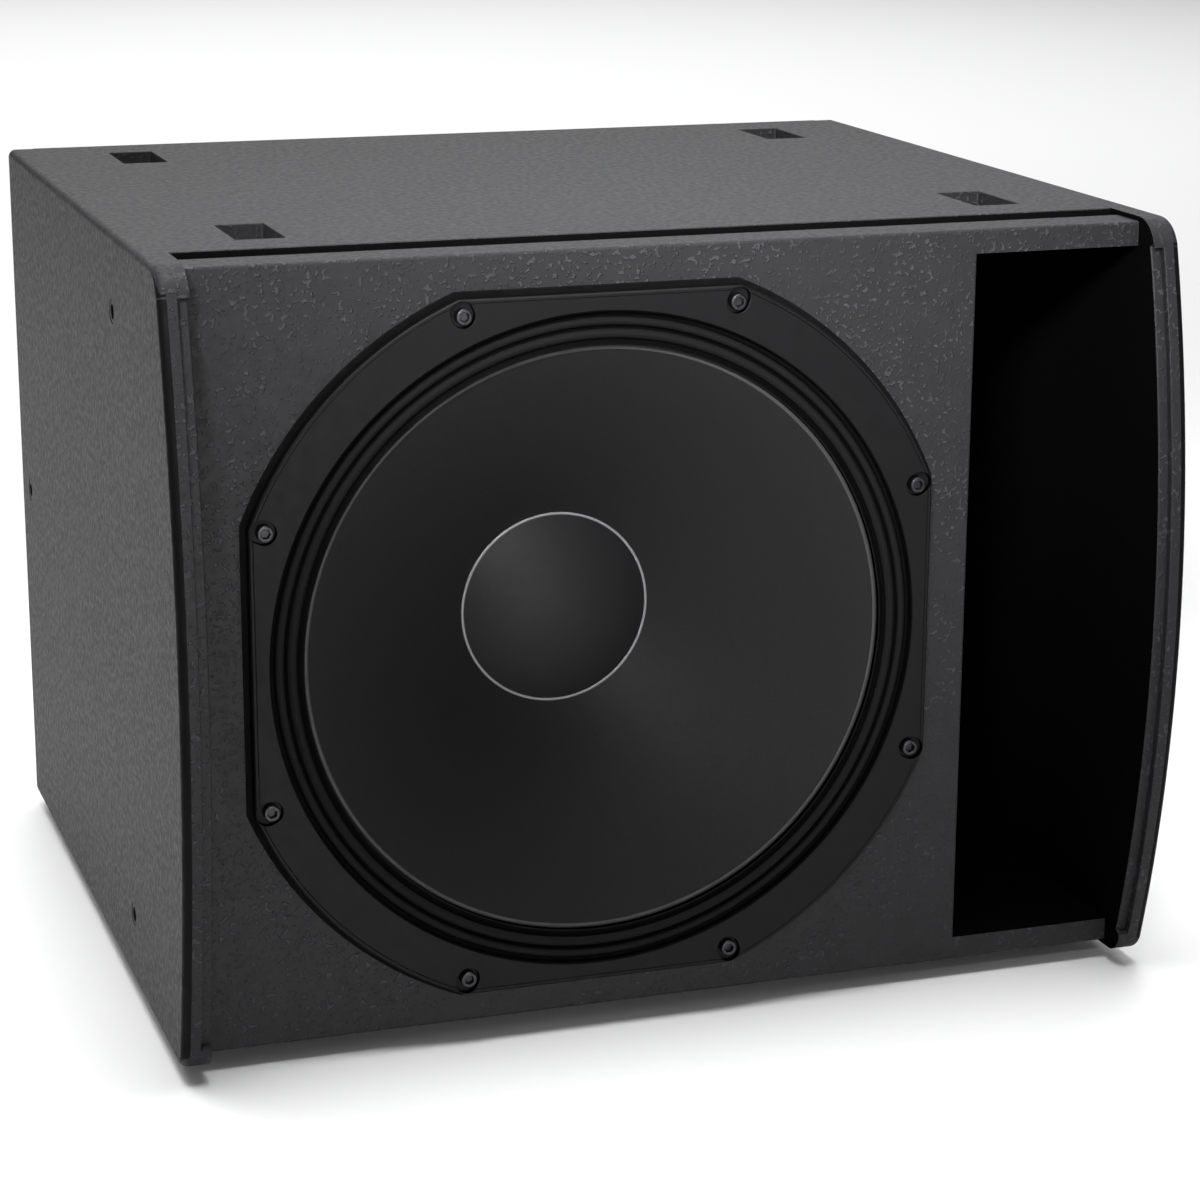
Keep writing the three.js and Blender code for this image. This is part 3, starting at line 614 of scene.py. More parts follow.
FORMER = moulded_plastic("coil_former", (0.5, 0.38, 0.18), 0.5)
BLACK_PLASTIC = moulded_plastic("black_plastic", (0.014, 0.014, 0.015), 0.42)
RED_PLASTIC = moulded_plastic("red_plastic", (0.35, 0.02, 0.02), 0.42)
BARE_PLY = plywood("birch_ply", (0.5, 0.36, 0.2))
FLEECE = felt("damping_fleece", (0.2, 0.2, 0.195))


# ---------- wooden box ----------
def corner_centre(radius, z):
    """Centre of a round that touches the bowed edge inside, at a height."""
    rise = z - MIDDLE
    return BOW_CENTRE - math.sqrt((BOW_RADIUS - radius) ** 2 - rise**2), z


def side_outline():
    """The side panel's outline, from the top forwards.

    Each point is (centre y, centre z, radius, angle, stretch).
    """
    top = corner_centre(TOP_CORNER, TOP - TOP_CORNER)
    low = corner_centre(LOW_CORNER, BOTTOM + LOW_CORNER)
    top_turn = math.atan2(top[1] - MIDDLE, top[0] - BOW_CENTRE)
    low_turn = math.atan2(low[1] - MIDDLE, low[0] - BOW_CENTRE) + 2 * math.pi
    quarter = math.pi / 2
    rear = BACK - REAR_CORNER
    arcs = [
        (top, TOP_CORNER, quarter, top_turn, 14, "corner"),
        ((BOW_CENTRE, MIDDLE), BOW_RADIUS, top_turn, low_turn, 0, "bow"),
        (low, LOW_CORNER, low_turn, 3 * quarter, 12, "corner"),
        ((rear, BOTTOM + REAR_CORNER), REAR_CORNER, -quarter, 0, 7, "rear"),
        ((rear, TOP - REAR_CORNER), REAR_CORNER, 0, quarter, 7, "rear"),
    ]
    points = []
    for (y, z), radius, first, last, steps, stretch in arcs:
        if stretch != "bow":
            turns = [first + (last - first) * k / steps for k in range(steps + 1)]
            points += [(y, z, radius, turn, stretch) for turn in turns]
            continue
        end = math.asin(REBATE_RISE / BOW_RADIUS)
        ramp = 1.2 * MM / BOW_RADIUS
        steps = 90
        inner = [math.pi - end + 2 * end * k / steps for k in range(steps + 1)]
        points.append((y, z, radius, math.pi - end - ramp, "bow"))
        points += [(y, z, radius, turn, "rebate") for turn in inner]
        points.append((y, z, radius, math.pi + end + ramp, "bow"))
    return points


def panel_ring(x, insets):
    """One ring of the side panel at x, drawn in by an inset for each stretch of its outline."""
    ring = []
    for y, z, radius, angle, stretch in side_outline():
        shrunk = radius - insets.get(stretch, 0)
        ring.append((x, y + shrunk * math.cos(angle), z + shrunk * math.sin(angle)))
    return ring


def side_panel_shell(sign):
    """Inner face, grille rebate along the bowed edge, and a large round on the outer edges."""
    edge = 1.2 * MM
    step_edge = 0.9 * MM
    rebate = {"rebate": REBATE_DEPTH}
    stations = []
    for k in range(4):
        angle = math.pi / 2 * k / 3
        inset = edge * (1 - math.sin(angle))
        ring = {"bow": inset, "corner": 0, "rebate": REBATE_DEPTH + inset}
        stations.append((edge * (1 - math.cos(angle)), ring))
    stations.append((REBATE_WIDTH, rebate))
    for k in range(4):
        angle = math.pi / 2 * k / 3
        inset = step_edge * (1 - math.sin(angle))
        stations.append((REBATE_WIDTH + step_edge * (1 - math.cos(angle)), {"rebate": inset}))
    for k in range(8):
        angle = math.pi / 2 * k / 7
        inset = OUTER_ROUND * (1 - math.cos(angle))
        every = {"bow": inset, "corner": inset, "rebate": inset, "rear": inset}
        stations.append((PLY - OUTER_ROUND * (1 - math.sin(angle)), every))
    return loft([panel_ring(sign * (INSIDE + along), insets) for along, insets in stations])


def insert_places(side):
    """Centres of the rigging inserts on one side, read from the CAD nodes."""
    names = [f"rigging_insert_{side}_{place}" for place in ("front_upper", "front_lower", "rear")]
    return {name: (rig.box(name)[0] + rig.box(name)[1]) / 2 for name in names}


def add_side_panel(side, sign):
    name = f"side_panel_{side}"
    panel = link(f"{name}_painted", closed_mesh(name, [side_panel_shell(sign)]))
    holes = []
    for centre in insert_places(side).values():
        face = sign * OUT
        profile = [(7.6 * MM + grow, x) for grow, x in
                   lip_stations(0.4 * MM, sign * (OUT - 17 * MM), face, 3 * MM)]
        holes.append(loft([circle(centre, radius, x, 40, "x") for radius, x in profile]))
    carve(panel, holes)

    def coat(centre, normal):
        # The inner face takes the black inner paint, darkened as painted shade.
        if abs(centre.x) < INSIDE + 0.1 * MM and abs(normal.x) > 0.9:
            return 1
        # The front-facing part of the outer round takes the near-black painted shade.
        on_round = abs(centre.x) > OUT - OUTER_ROUND and abs(normal.x) > 0.1
        return 2 if on_round and normal.y < -0.08 and abs(normal.z) < 0.3 else 0

    dress(panel, [PAINT, INNER_PAINT_AND_SHADE, EDGE_PAINTED_SHADE], "cabinet", stands_for=[name], slot="cabinet_paint",
          choose=coat)
    for insert, centre in insert_places(side).items():
        add_insert(insert, centre, sign)


def add_insert(name, centre, sign):
    """A steel insert, painted over with the panel; rings in its bore stand in for an M8 thread, and the bore is
    coloured near-black as painted shade.
    """
    face = OUT - 0.3 * MM
    mouth = face - 0.5 * MM
    profile = [(7.45 * MM, face - INSERT_LENGTH), (7.45 * MM, face - 0.3 * MM), (7.2 * MM, face)]
    profile += [(INSERT_BORE + 0.5 * MM, face), (INSERT_BORE, mouth)]
    for k in range(1, int(INSERT_LENGTH / THREAD_PITCH)):
        profile.append((INSERT_BORE - 0.55 * MM, mouth - (k - 0.5) * THREAD_PITCH))
        profile.append((INSERT_BORE, mouth - k * THREAD_PITCH))
    profile.append((INSERT_BORE, face - INSERT_LENGTH))
    flipped = [(radius, sign * x) for radius, x in profile]
    shell = turned(flipped, 36, Vector((0, centre.y, centre.z)), "x")

    def thread(middle, _normal):
        # Faces in the bore take the near-black painted shade.
        radius = math.hypot(middle.y - centre.y, middle.z - centre.z)
        return 1 if radius < INSERT_BORE + 0.6 * MM else 0

    build(f"{name}_threaded", [shell], [PAINT, PAINTED_SHADE_BLACK], stands_for=[name], slot="zinc_steel",
          choose=thread)


def arc(centre, radius, first, last, steps=5):
    """Points of an arc, in degrees."""
    turns = [math.radians(first + (last - first) * k / steps) for k in range(steps + 1)]
    return [(centre[0] + radius * math.cos(t), centre[1] + radius * math.sin(t)) for t in turns]


def ledge_profile():
    """The top panel seen from the side, as (y, z): the ledge across its front and its rounded rear edge."""
    nose = 2.2 * MM
    crest = 1.0 * MM
    heel = 0.8 * MM
    rear = 4 * MM
    low = TOP - LEDGE_DROP
    step = BAFFLE_FRONT + LEDGE_DEPTH
    points = [(BAFFLE_FRONT, INNER_TOP)]
    points += arc((BAFFLE_FRONT + nose, low - nose), nose, 180, 90)
    points += arc((step - GROOVE_WIDTH - heel, low - heel), heel, 90, 0)
    points += [(step - GROOVE_WIDTH, low - GROOVE_DEPTH), (step, low - GROOVE_DEPTH)]
    points += arc((step + crest, TOP - crest), crest, 180, 90)
    points += arc((BACK - rear, TOP - rear), rear, 90, 0)
    points.append((BACK, INNER_TOP))
    return points


def along_x(outline, low, high):
    return loft([[(x, y, z) for y, z in outline] for x in (low, high)])


def inner_face(level, upward):
    """Picks the black inner paint, darkened as painted shade, for the face that looks into the box, and near-black
    painted shade for the groove and the step behind it.
    """
    ledge = TOP - LEDGE_DROP - 0.9 * MM
    step = BAFFLE_FRONT + LEDGE_DEPTH

    def choose(centre, normal):
        if abs(centre.z - level) < 0.2 * MM and normal.z * upward > 0.9:
            return 1
        rise = abs(centre.z - MIDDLE) + MIDDLE
        in_groove = step - GROOVE_WIDTH - 0.1 * MM < centre.y < step + 0.1 * MM and rise < ledge
        on_step = abs(centre.y - step) < 0.1 * MM and abs(normal.y) > 0.9
        return 2 if (in_groove and abs(normal.x) < 0.5 and rise > INNER_TOP) or on_step else 0
    return choose


def pocket_cutters():
    cutters = []
    for foot in FEET:
        low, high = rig.box(foot)
        centre = (low + high) / 2
        stations = lip_stations(0.7 * MM, TOP - 9 * MM, TOP, 4 * MM)
        cutters.append(loft([[(centre.x + u, centre.y + v, z) for u, v in
                              round_box(30 * MM, 60 * MM, 1.5 * MM, grow)] for grow, z in stations]))
    return cutters


def add_top_and_bottom():
    top = link("top_panel_painted", closed_mesh("top_panel", [along_x(ledge_profile(), -INSIDE, INSIDE)]))
    carve(top, pocket_cutters())
    dress(top, [PAINT, INNER_PAINT_AND_SHADE, PAINTED_SHADE_BLACK], "cabinet", stands_for=["top_panel"], slot="cabinet_paint",
          choose=inner_face(INNER_TOP, -1))
    mirrored = [(y, BOTTOM + TOP - z) for y, z in ledge_profile()]
    build("bottom_panel_painted", [along_x(mirrored, -INSIDE, INSIDE)],
          [PAINT, INNER_PAINT_AND_SHADE, PAINTED_SHADE_BLACK],
          stands_for=["bottom_panel"], slot="cabinet_paint", choose=inner_face(INNER_BOTTOM, 1))


def add_baffle():
    """The driver's board, flush with the top and bottom panels, with its port edge eased."""
    ease = 1.6 * MM
    outline = [(-INSIDE, BAFFLE_BACK), (-INSIDE, BAFFLE_FRONT)]
    outline += arc((PORT_LEFT - ease, BAFFLE_FRONT + ease), ease, -90, 0)
    outline.append((PORT_LEFT, BAFFLE_BACK))
    board = loft([[(x, y, z) for x, y in outline] for z in (INNER_BOTTOM, INNER_TOP)])
    baffle = link("front_baffle_painted", closed_mesh("front_baffle", [board]))
    axis = Vector((AXIS_X, 0, AXIS_Z))
    carve(baffle, [loft([circle(axis, CUTOUT_RADIUS, y, 160)
                         for y in (BAFFLE_FRONT - 5 * MM, BAFFLE_BACK + 5 * MM)])])

    def choose(centre, normal):
        # The port side and the back face take the black inner paint, darkened as painted shade.
        port_side = centre.x > PORT_LEFT - 0.1 * MM and normal.x > 0.9
        return 1 if port_side or normal.y > 0.9 else 0

    dress(baffle, [PAINT, INNER_PAINT_AND_SHADE], "cabinet", stands_for=["front_baffle"], slot="cabinet_paint",
          choose=choose)


# ---------- driver ----------
def flange_ring(inset, y):
    """The flange's outline, four flats joined by round stretches, drawn in by an inset."""
    radius = FLANGE_RADIUS - inset
    flat = FLANGE_FLAT - inset
    half = math.acos(flat / radius)
    ring = []
    for quarter in range(4):
        middle = quarter * math.pi / 2
        for k in range(16):
            turn = -half + 2 * half * k / 16
            ring.append((middle + turn, flat / math.cos(turn)))
        for k in range(24):
            turn = half + (math.pi / 2 - 2 * half) * k / 24
            ring.append((middle + turn, radius))
    return [(AXIS_X + r * math.cos(t), y, AXIS_Z + r * math.sin(t)) for t, r in ring]


def circle_ring(radius, y):
    """A circle whose points stand at the same angles as the flange's outline."""
    ring = []
    for x, _y, z in flange_ring(0, y):
        angle = math.atan2(z - AXIS_Z, x - AXIS_X)
        ring.append((AXIS_X + radius * math.cos(angle), y, AXIS_Z + radius * math.sin(angle)))
    return ring


def bolt_places():
    angles = [math.radians(22.5 + 45 * k) for k in range(8)]
    return [(AXIS_X + BOLT_CIRCLE * math.cos(a), AXIS_Z + BOLT_CIRCLE * math.sin(a), a) for a in angles]


def bolt_pockets():
    """Counterbores that run out towards the flange's corners."""
    run_out = 2.4 * MM
    radius = 6.9 * MM
    cutters = []
    for x, z, angle in bolt_places():
        rings = []
        for grow, y in lip_stations(0.5 * MM, FLANGE_FRONT + 4.6 * MM, FLANGE_FRONT, 3 * MM):
            ring = []
            for k in range(48):
                turn = 2 * math.pi * (k + 0.5) / 48
                u = (radius + grow) * math.cos(turn) + (run_out if math.cos(turn) > 0 else 0)
                v = (radius + grow) * math.sin(turn)
                ring.append((x + u * math.cos(angle) - v * math.sin(angle), y,
                             z + u * math.sin(angle) + v * math.cos(angle)))
            rings.append(ring)
        cutters.append(loft(rings))
    return cutters


def basket_arm(angle):
    """A cast arm with narrowed faces, from the rim back to the magnet's seat."""
    y = FLANGE_FRONT
    outline = [(204, 24), (204, 46), (196, 58), (126, 120), (108, 121), (108, 97), (150, 66), (199, 27)]
    half_width = [(0.55, 0.0), (1.0, 0.12), (1.0, 0.88), (0.55, 1.0)]
    rings = []
    for share, across in half_width:
        offset = (across - 0.5) * 15 * MM
        middle = Vector((155, 72))
        ring = []
        for r, depth in outline:
            point = middle + (Vector((r, depth)) - middle) * (0.93 + 0.07 * share)
            along = point.x * MM
            ring.append((AXIS_X + along * math.cos(angle) - offset * math.sin(angle), y + point.y * MM,
                         AXIS_Z + along * math.sin(angle) + offset * math.cos(angle)))
        rings.append(ring)
    return loft(rings)


def add_basket():
    y = FLANGE_FRONT
    chamfer = 0.9 * MM
    rings = [
        flange_ring(0, FLANGE_REAR),
        flange_ring(0, y + chamfer),
        flange_ring(chamfer, y),
        flange_ring(2.2 * MM, y),
        flange_ring(2.5 * MM, y + 0.35 * MM),
        flange_ring(2.8 * MM, y),
        circle_ring(SEAT_RADIUS + 1.0 * MM, y),
        circle_ring(SEAT_RADIUS + 0.3 * MM, y + 0.3 * MM),
        circle_ring(SEAT_RADIUS, y + 1.0 * MM),
        circle_ring(SEAT_RADIUS, y + SEAT_DEPTH),
        circle_ring(197 * MM, y + SEAT_DEPTH),
        circle_ring(197 * MM, y + 12 * MM),
        circle_ring(199 * MM, y + RIM_DEPTH),
        circle_ring(RIM_RADIUS, y + RIM_DEPTH),
        circle_ring(RIM_RADIUS, FLANGE_REAR),
    ]
    basket = link("driver_frame", closed_mesh("driver_frame", [loft(rings, wrap=True)]))
    carve(basket, bolt_pockets())
    hub = turned([(106 * MM, y + 97 * MM), (113 * MM, y + 97 * MM), (114 * MM, y + 99 * MM),
                  (114 * MM, y + 128 * MM), (112 * MM, y + 130 * MM), (58 * MM, y + 130 * MM),
                  (58 * MM, y + 123 * MM), (99 * MM, y + 123 * MM), (99 * MM, y + 111 * MM),
                  (106 * MM, y + 111 * MM)], 96)
    arms = [basket_arm(angle) for _x, _z, angle in bolt_places()]
    skeleton = link("driver_frame_arms", closed_mesh("driver_frame_arms", [hub, *arms]))

    def wall(centre, normal):
        radius = math.hypot(centre.x - AXIS_X, centre.z - AXIS_Z)
        # The flange's side walls and the lip round the surround take the near-black painted shade.
        on_edge = radius > FLANGE_FLAT - 1 * MM and centre.y > y + chamfer and abs(normal.y) < 0.3
        on_lip = radius < SEAT_RADIUS + 0.9 * MM and centre.y > y + 0.05 * MM
        return 1 if on_edge or on_lip else 0

    dress(basket, [FRAME_COAT, PAINTED_SHADE_BLACK], "cabinet", stands_for=["driver_basket"], slot="cast_frame",
          choose=wall)
    dress(skeleton, [FRAME_COAT], "cabinet", slot="cast_frame")


def add_gasket():
    """A black foam ring under the flange, squeezed out round its edge; the part that stands out beyond the flange is a
    painted shadow round it.
    """
    front = BAFFLE_FRONT - 1.0 * MM
    rings = [
        flange_ring(0.4 * MM - GASKET_SHADOW_OVERHANG, BAFFLE_FRONT),
        flange_ring(-GASKET_SHADOW_OVERHANG, BAFFLE_FRONT - 0.4 * MM),
        flange_ring(0.3 * MM - GASKET_SHADOW_OVERHANG, front + 0.2 * MM),
        flange_ring(1.0 * MM - GASKET_SHADOW_OVERHANG, front),
        circle_ring(CUTOUT_RADIUS + 1 * MM, front),
        circle_ring(CUTOUT_RADIUS + 1 * MM, BAFFLE_FRONT),
    ]
    build("driver_gasket_foam", [loft(rings, wrap=True)], [GASKET_FOAM_AND_SHADE], stands_for=["driver_gasket"],
          slot="rubber")


def hexagon_radius(angle, across):
    """Distance to a regular hexagon's side at an angle; across is its width across the flats."""
    turn = (angle % (math.pi / 3)) - math.pi / 6
    return across / 2 / math.cos(turn)


def bolt_shell(x, z, turn):
    """A socket-head bolt: knurled head with an eased rim, hexagon socket and shank."""
    sides = 48
    front = FLANGE_FRONT - BOLT_RISE
    seat = FLANGE_FRONT + 4.2 * MM

    def ring_of(radius_at, y):
        points = []
        for k in range(sides):
            angle = 2 * math.pi * k / sides
            r = radius_at(k, angle)
            points.append((x + r * math.cos(angle), y, z + r * math.sin(angle)))
        return points

    def ring(radius, y, knurl=0.0):
        return ring_of(lambda k, _angle: radius + (knurl if k % 2 else 0), y)

    def hexagon(across, y):
        return ring_of(lambda _k, angle: hexagon_radius(angle + turn, across), y)

    rings = [
        hexagon(4.9 * MM, front + 3.6 * MM),
        hexagon(5.0 * MM, front + 0.5 * MM),
        hexagon(5.6 * MM, front + 0.05 * MM),
        ring(4.1 * MM, front),
        ring(4.55 * MM, front + 0.15 * MM),
        ring(BOLT_HEAD, front + 0.6 * MM),
        ring(BOLT_HEAD, front + 1.2 * MM, 0.15 * MM),
        ring(BOLT_HEAD, seat - 0.3 * MM, 0.15 * MM),
        ring(4.6 * MM, seat),
        ring(BOLT_SHANK, seat),
        ring(BOLT_SHANK, seat + 33 * MM),
        ring(1.8 * MM, seat + 34 * MM),
    ]
    return loft(rings)


def add_bolts():
    for k, (x, z, _angle) in enumerate(bolt_places()):
        build(f"driver_bolt_{k + 1}_socket_head", [bolt_shell(x, z, 0.7 * k)], [BOLT_BLACK],
              stands_for=[f"driver_bolt_{k + 1}"], slot="black_steel", smooth=50)


def cone_y(radius):
    """Depth of the cone's front face at a radius, curving in towards the coil."""
    share = max(0.0, (CONE_RADIUS - radius) / (CONE_RADIUS - CAP_RADIUS))
    return CONE_EDGE + CONE_DEPTH * share**1.12


def add_cone():
    inner = 51.2 * MM
    steps = 60
    radii = [CONE_RADIUS + (inner - CONE_RADIUS) * k / steps for k in range(steps + 1)]
    profile = [(r, cone_y(r)) for r in radii]
    profile += [(r, cone_y(r) + 1.5 * MM) for r in reversed(radii)]
    build("cone_paper_shell", [turned(profile, 192)], [CONE_PAPER], "cone_assembly",
          stands_for=["cone"], slot="cone_paper")
    bead = bead_ring(CONE_RADIUS - 1.3 * MM, cone_y(CONE_RADIUS - 1.3 * MM), 1.4 * MM, 0.7 * MM)
    build("cone_edge_glue", [bead], [EDGE_DOPE], "cone_assembly", slot="cone_paper")


def bead_ring(radius, y, half_width, height):
    """A flattened glue bead laid in a circle."""
    profile = []
    for k in range(16):
        turn = 2 * math.pi * k / 16
        profile.append((radius + half_width * math.cos(turn), y - height * math.sin(turn)))
    return turned(profile, 192)


def add_dust_cap():
    """A pressed dome and its glue line."""
    skirt = CAP_RADIUS - 0.6 * MM
    dome_radius = (skirt**2 + CAP_RISE**2) / (2 * CAP_RISE)
    seat = cone_y(CAP_RADIUS) - 0.6 * MM
    steps = 28
    radii = [skirt * k / steps for k in range(steps + 1)]
    front = [(r, seat - (math.sqrt(dome_radius**2 - r**2) - (dome_radius - CAP_RISE))) for r in radii]
    profile = front + [(r, y + 0.8 * MM) for r, y in reversed(front)]
    build("dust_cap_dome", [turned(profile, 144)], [CAP_PAPER], "cone_assembly",
          stands_for=["dust_cap"], slot="cone_paper")
    bead = bead_ring(CAP_RADIUS, seat + 0.1 * MM, 0.9 * MM, 0.8 * MM)
    build("dust_cap_glue", [bead], [GLUE], "cone_assembly", slot="cone_paper")


def follow_by_radius(piece, outer, inner):
    """Hangs a ring between the cabinet, at its outer radius, and the moving cone, at its inner one."""
    share = piece.data.attributes["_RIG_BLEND"].data
    for vertex in piece.data.vertices:
        radius = math.hypot(vertex.co.x - AXIS_X, vertex.co.z - AXIS_Z)
        t = min(1.0, max(0.0, (outer - radius) / (outer - inner)))
        share[vertex.index].value = t * t * (3 - 2 * t)


def ring_between(name, profile, material, node, slot, outer, inner, sides=192):
    """A soft ring that joins the cabinet to the moving cone."""
    piece = link(name, closed_mesh(name, [turned(profile, sides)]))
    coat_smoothly(piece, material)
    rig.blend(piece, "cabinet", "cone_assembly", start=(AXIS_X, FLANGE_FRONT, AXIS_Z),
             end=(AXIS_X, FLANGE_FRONT + 20 * MM, AXIS_Z))
    follow_by_radius(piece, outer, inner)
    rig.replaces(piece, node)
    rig.slot(piece, slot)
    return piece


def add_surround():
    """Doped cloth: rolls between deep narrow valleys, with a lip on the frame and one on the cone; faces deep in the
    valleys are coloured near-black as painted shade.
    """
    base = FLANGE_FRONT + 5.3 * MM
    shade_depth = base - 2.5 * MM
    outer = SEAT_RADIUS - 0.3 * MM
    valleys = [199.6 * MM, 192.4 * MM, 184.8 * MM]
    crests = [3.9 * MM, 4.2 * MM, 2.6 * MM]
    front = [(outer, base - 1.0 * MM), (outer - 0.7 * MM, base - 0.6 * MM)]
    for k, valley in enumerate(valleys):
        end = valleys[k + 1] if k < 2 else CONE_RADIUS + 0.2 * MM
        steps = 20 if k < 2 else 8
        for step in range(steps + 1):
            share = step / steps
            radius = valley + (end - valley) * share
            roll = math.sin(math.pi * share) ** 0.7 if k < 2 else math.sin(math.pi / 2 * share)
            front.append((radius, base - crests[k] * roll))
    profile = front + [(r, y + 0.9 * MM) for r, y in reversed(front)]
    piece = ring_between("surround_cloth_rolls", profile, SURROUND_CLOTH, "surround", "surround_cloth",
                         200.4 * MM, 184 * MM)
    piece.data.materials.append(PAINTED_SHADE_BLACK)
    # Faces deep in the valleys take the near-black painted shade.
    for face in piece.data.polygons:
        face.material_index = 1 if face.center.y > shade_depth and face.normal.y < 0.2 else 0


def add_spider():
    inner = (SPIDER_HIGH.x - SPIDER_LOW.x) / 2 - 54.4 * MM
    outer = (SPIDER_HIGH.x - SPIDER_LOW.x) / 2
    seat = SPIDER_HIGH.y
    steps = 96
    front = []
    for k in range(steps + 1):
        share = k / steps
        wave = 2.4 * MM * (1 - math.cos(share * 12 * math.pi)) * 0.5
        front.append((inner + share * (outer - inner), seat - 0.8 * MM - wave))
    profile = front + [(r, y + 0.7 * MM) for r, y in reversed(front)]
    ring_between("spider_cloth_rolls", profile, SPIDER_CLOTH, "spider", "spider_cloth",
                 outer - 3 * MM, inner + 3 * MM, 96)


def tube(name, points, radius, material):
    """A round tube along a smooth line through points, and the line itself."""
    line = smooth_line([Vector(point) for point in points])
    side = Vector((1, 0, 0))
    rings = []
    for k, point in enumerate(line):
        along = (line[min(k + 1, len(line) - 1)] - line[max(k - 1, 0)]).normalized()
        side = (side - along * side.dot(along)).normalized()
        other = along.cross(side)
        rings.append([tuple(point + radius * (math.cos(t) * side + math.sin(t) * other))
                      for t in (2 * math.pi * n / 12 for n in range(12))])
    piece = link(name, closed_mesh(name, [loft(rings)]))
    coat_smoothly(piece, material)
    return piece, line


def smooth_line(points, steps=10):
    """A Catmull-Rom line through the points."""
    ends = [2 * points[0] - points[1], *points, 2 * points[-1] - points[-2]]
    line = []
    for before, start, end, after in zip(ends, ends[1:], ends[2:], ends[3:]):
        for k in range(steps):
            t = k / steps
            line.append(0.5 * (2 * start + (end - before) * t
                               + (2 * before - 5 * start + 4 * end - after) * t**2
                               + (3 * start - before - 3 * end + after) * t**3))
    return line + [points[-1]]


def line_length(line):
    return sum((end - start).length for start, end in zip(line, line[1:]))


def add_leads():
    """The leads inside the box, and the braids that flex with the cone."""
    socket_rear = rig.box("speaker_socket_upper")[0].y - 0.6 * MM
    socket_z = (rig.box("speaker_socket_upper")[0].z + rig.box("speaker_socket_upper")[1].z) / 2
    tag_y = FLANGE_FRONT + 108 * MM
    for name, sign, material, slot in (("positive", -1, RED_PLASTIC, "red_plastic"),
                                       ("negative", 1, BLACK_PLASTIC, "black_plastic")):
        x = AXIS_X + sign * 11 * MM
        route = [
            (AXIS_X + sign * 5 * MM, socket_rear, socket_z),
            (AXIS_X + sign * 6 * MM, socket_rear - 50 * MM, socket_z - 12 * MM),
            (AXIS_X + sign * 14 * MM, 120 * MM, 118 * MM),
            (AXIS_X + sign * 12 * MM, 0, 104 * MM),
            (x, -100 * MM, 92 * MM),
            (x, tag_y + 4 * MM, 94 * MM),
            (x, tag_y, 102 * MM),
            (x, tag_y, AXIS_Z - 139.5 * MM),
        ]
        lead, line = tube(f"internal_lead_{name}_wire", route, LEAD_RADIUS, material)
        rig.ride(lead, "cabinet")
        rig.replaces(lead, f"internal_lead_{name}")
        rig.slot(lead, slot)
        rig.cord(lead, exit=line[0], length=line_length(line), diameter=2 * LEAD_RADIUS,
                far_end="object", stiffness="medium", lay="loose", path=line)
        start = (x, FLANGE_FRONT + 99.5 * MM, AXIS_Z - 120 * MM)
        end = (AXIS_X + sign * 14 * MM, cone_y(96 * MM) + 4 * MM, AXIS_Z - 95 * MM)
        braid, _line = tube(f"tinsel_lead_{name}_braid", [
            start,
            (x, FLANGE_FRONT + 84 * MM, AXIS_Z - 122 * MM),
            (AXIS_X + sign * 12 * MM, FLANGE_FRONT + 74 * MM, AXIS_Z - 112 * MM),
            end,
        ], BRAID_RADIUS, COPPER)
        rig.blend(braid, "cabinet", "cone_assembly", start=start, end=end)
        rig.replaces(braid, f"tinsel_lead_{name}")
        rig.slot(braid, "copper")


# ---------- small parts ----------
def add_feet():
    """Rubber pads with eased edges and a recess for the screw."""
    for name in FEET:
        low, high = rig.box(name)
        centre = (low + high) / 2
        width, length = high.x - low.x, high.y - low.y
        ease = 1.6 * MM
        stations = [(-ease, 0.0)]
        for k in range(1, 5):
            angle = math.pi / 2 * k / 4
            stations.append((-ease * (1 - math.sin(angle)), ease * (1 - math.cos(angle))))
        stations += [(0, high.z - 0.5 * MM), (-0.5 * MM, high.z)]
        shell = loft([[(centre.x + u, centre.y + v, z) for u, v in
                       round_box(width, length, 4 * MM, grow)] for grow, z in stations])
        foot = link(f"{name}_moulded", closed_mesh(name, [shell]))
        recess = [(6.6 * MM, -2 * MM), (6.6 * MM, 0), (6 * MM, 0.6 * MM), (6 * MM, 4.9 * MM)]
        carve(foot, [loft([circle(centre, radius, z, 32, "z") for radius, z in recess])])
        dress(foot, [RUBBER], "cabinet", stands_for=[name], slot="rubber")


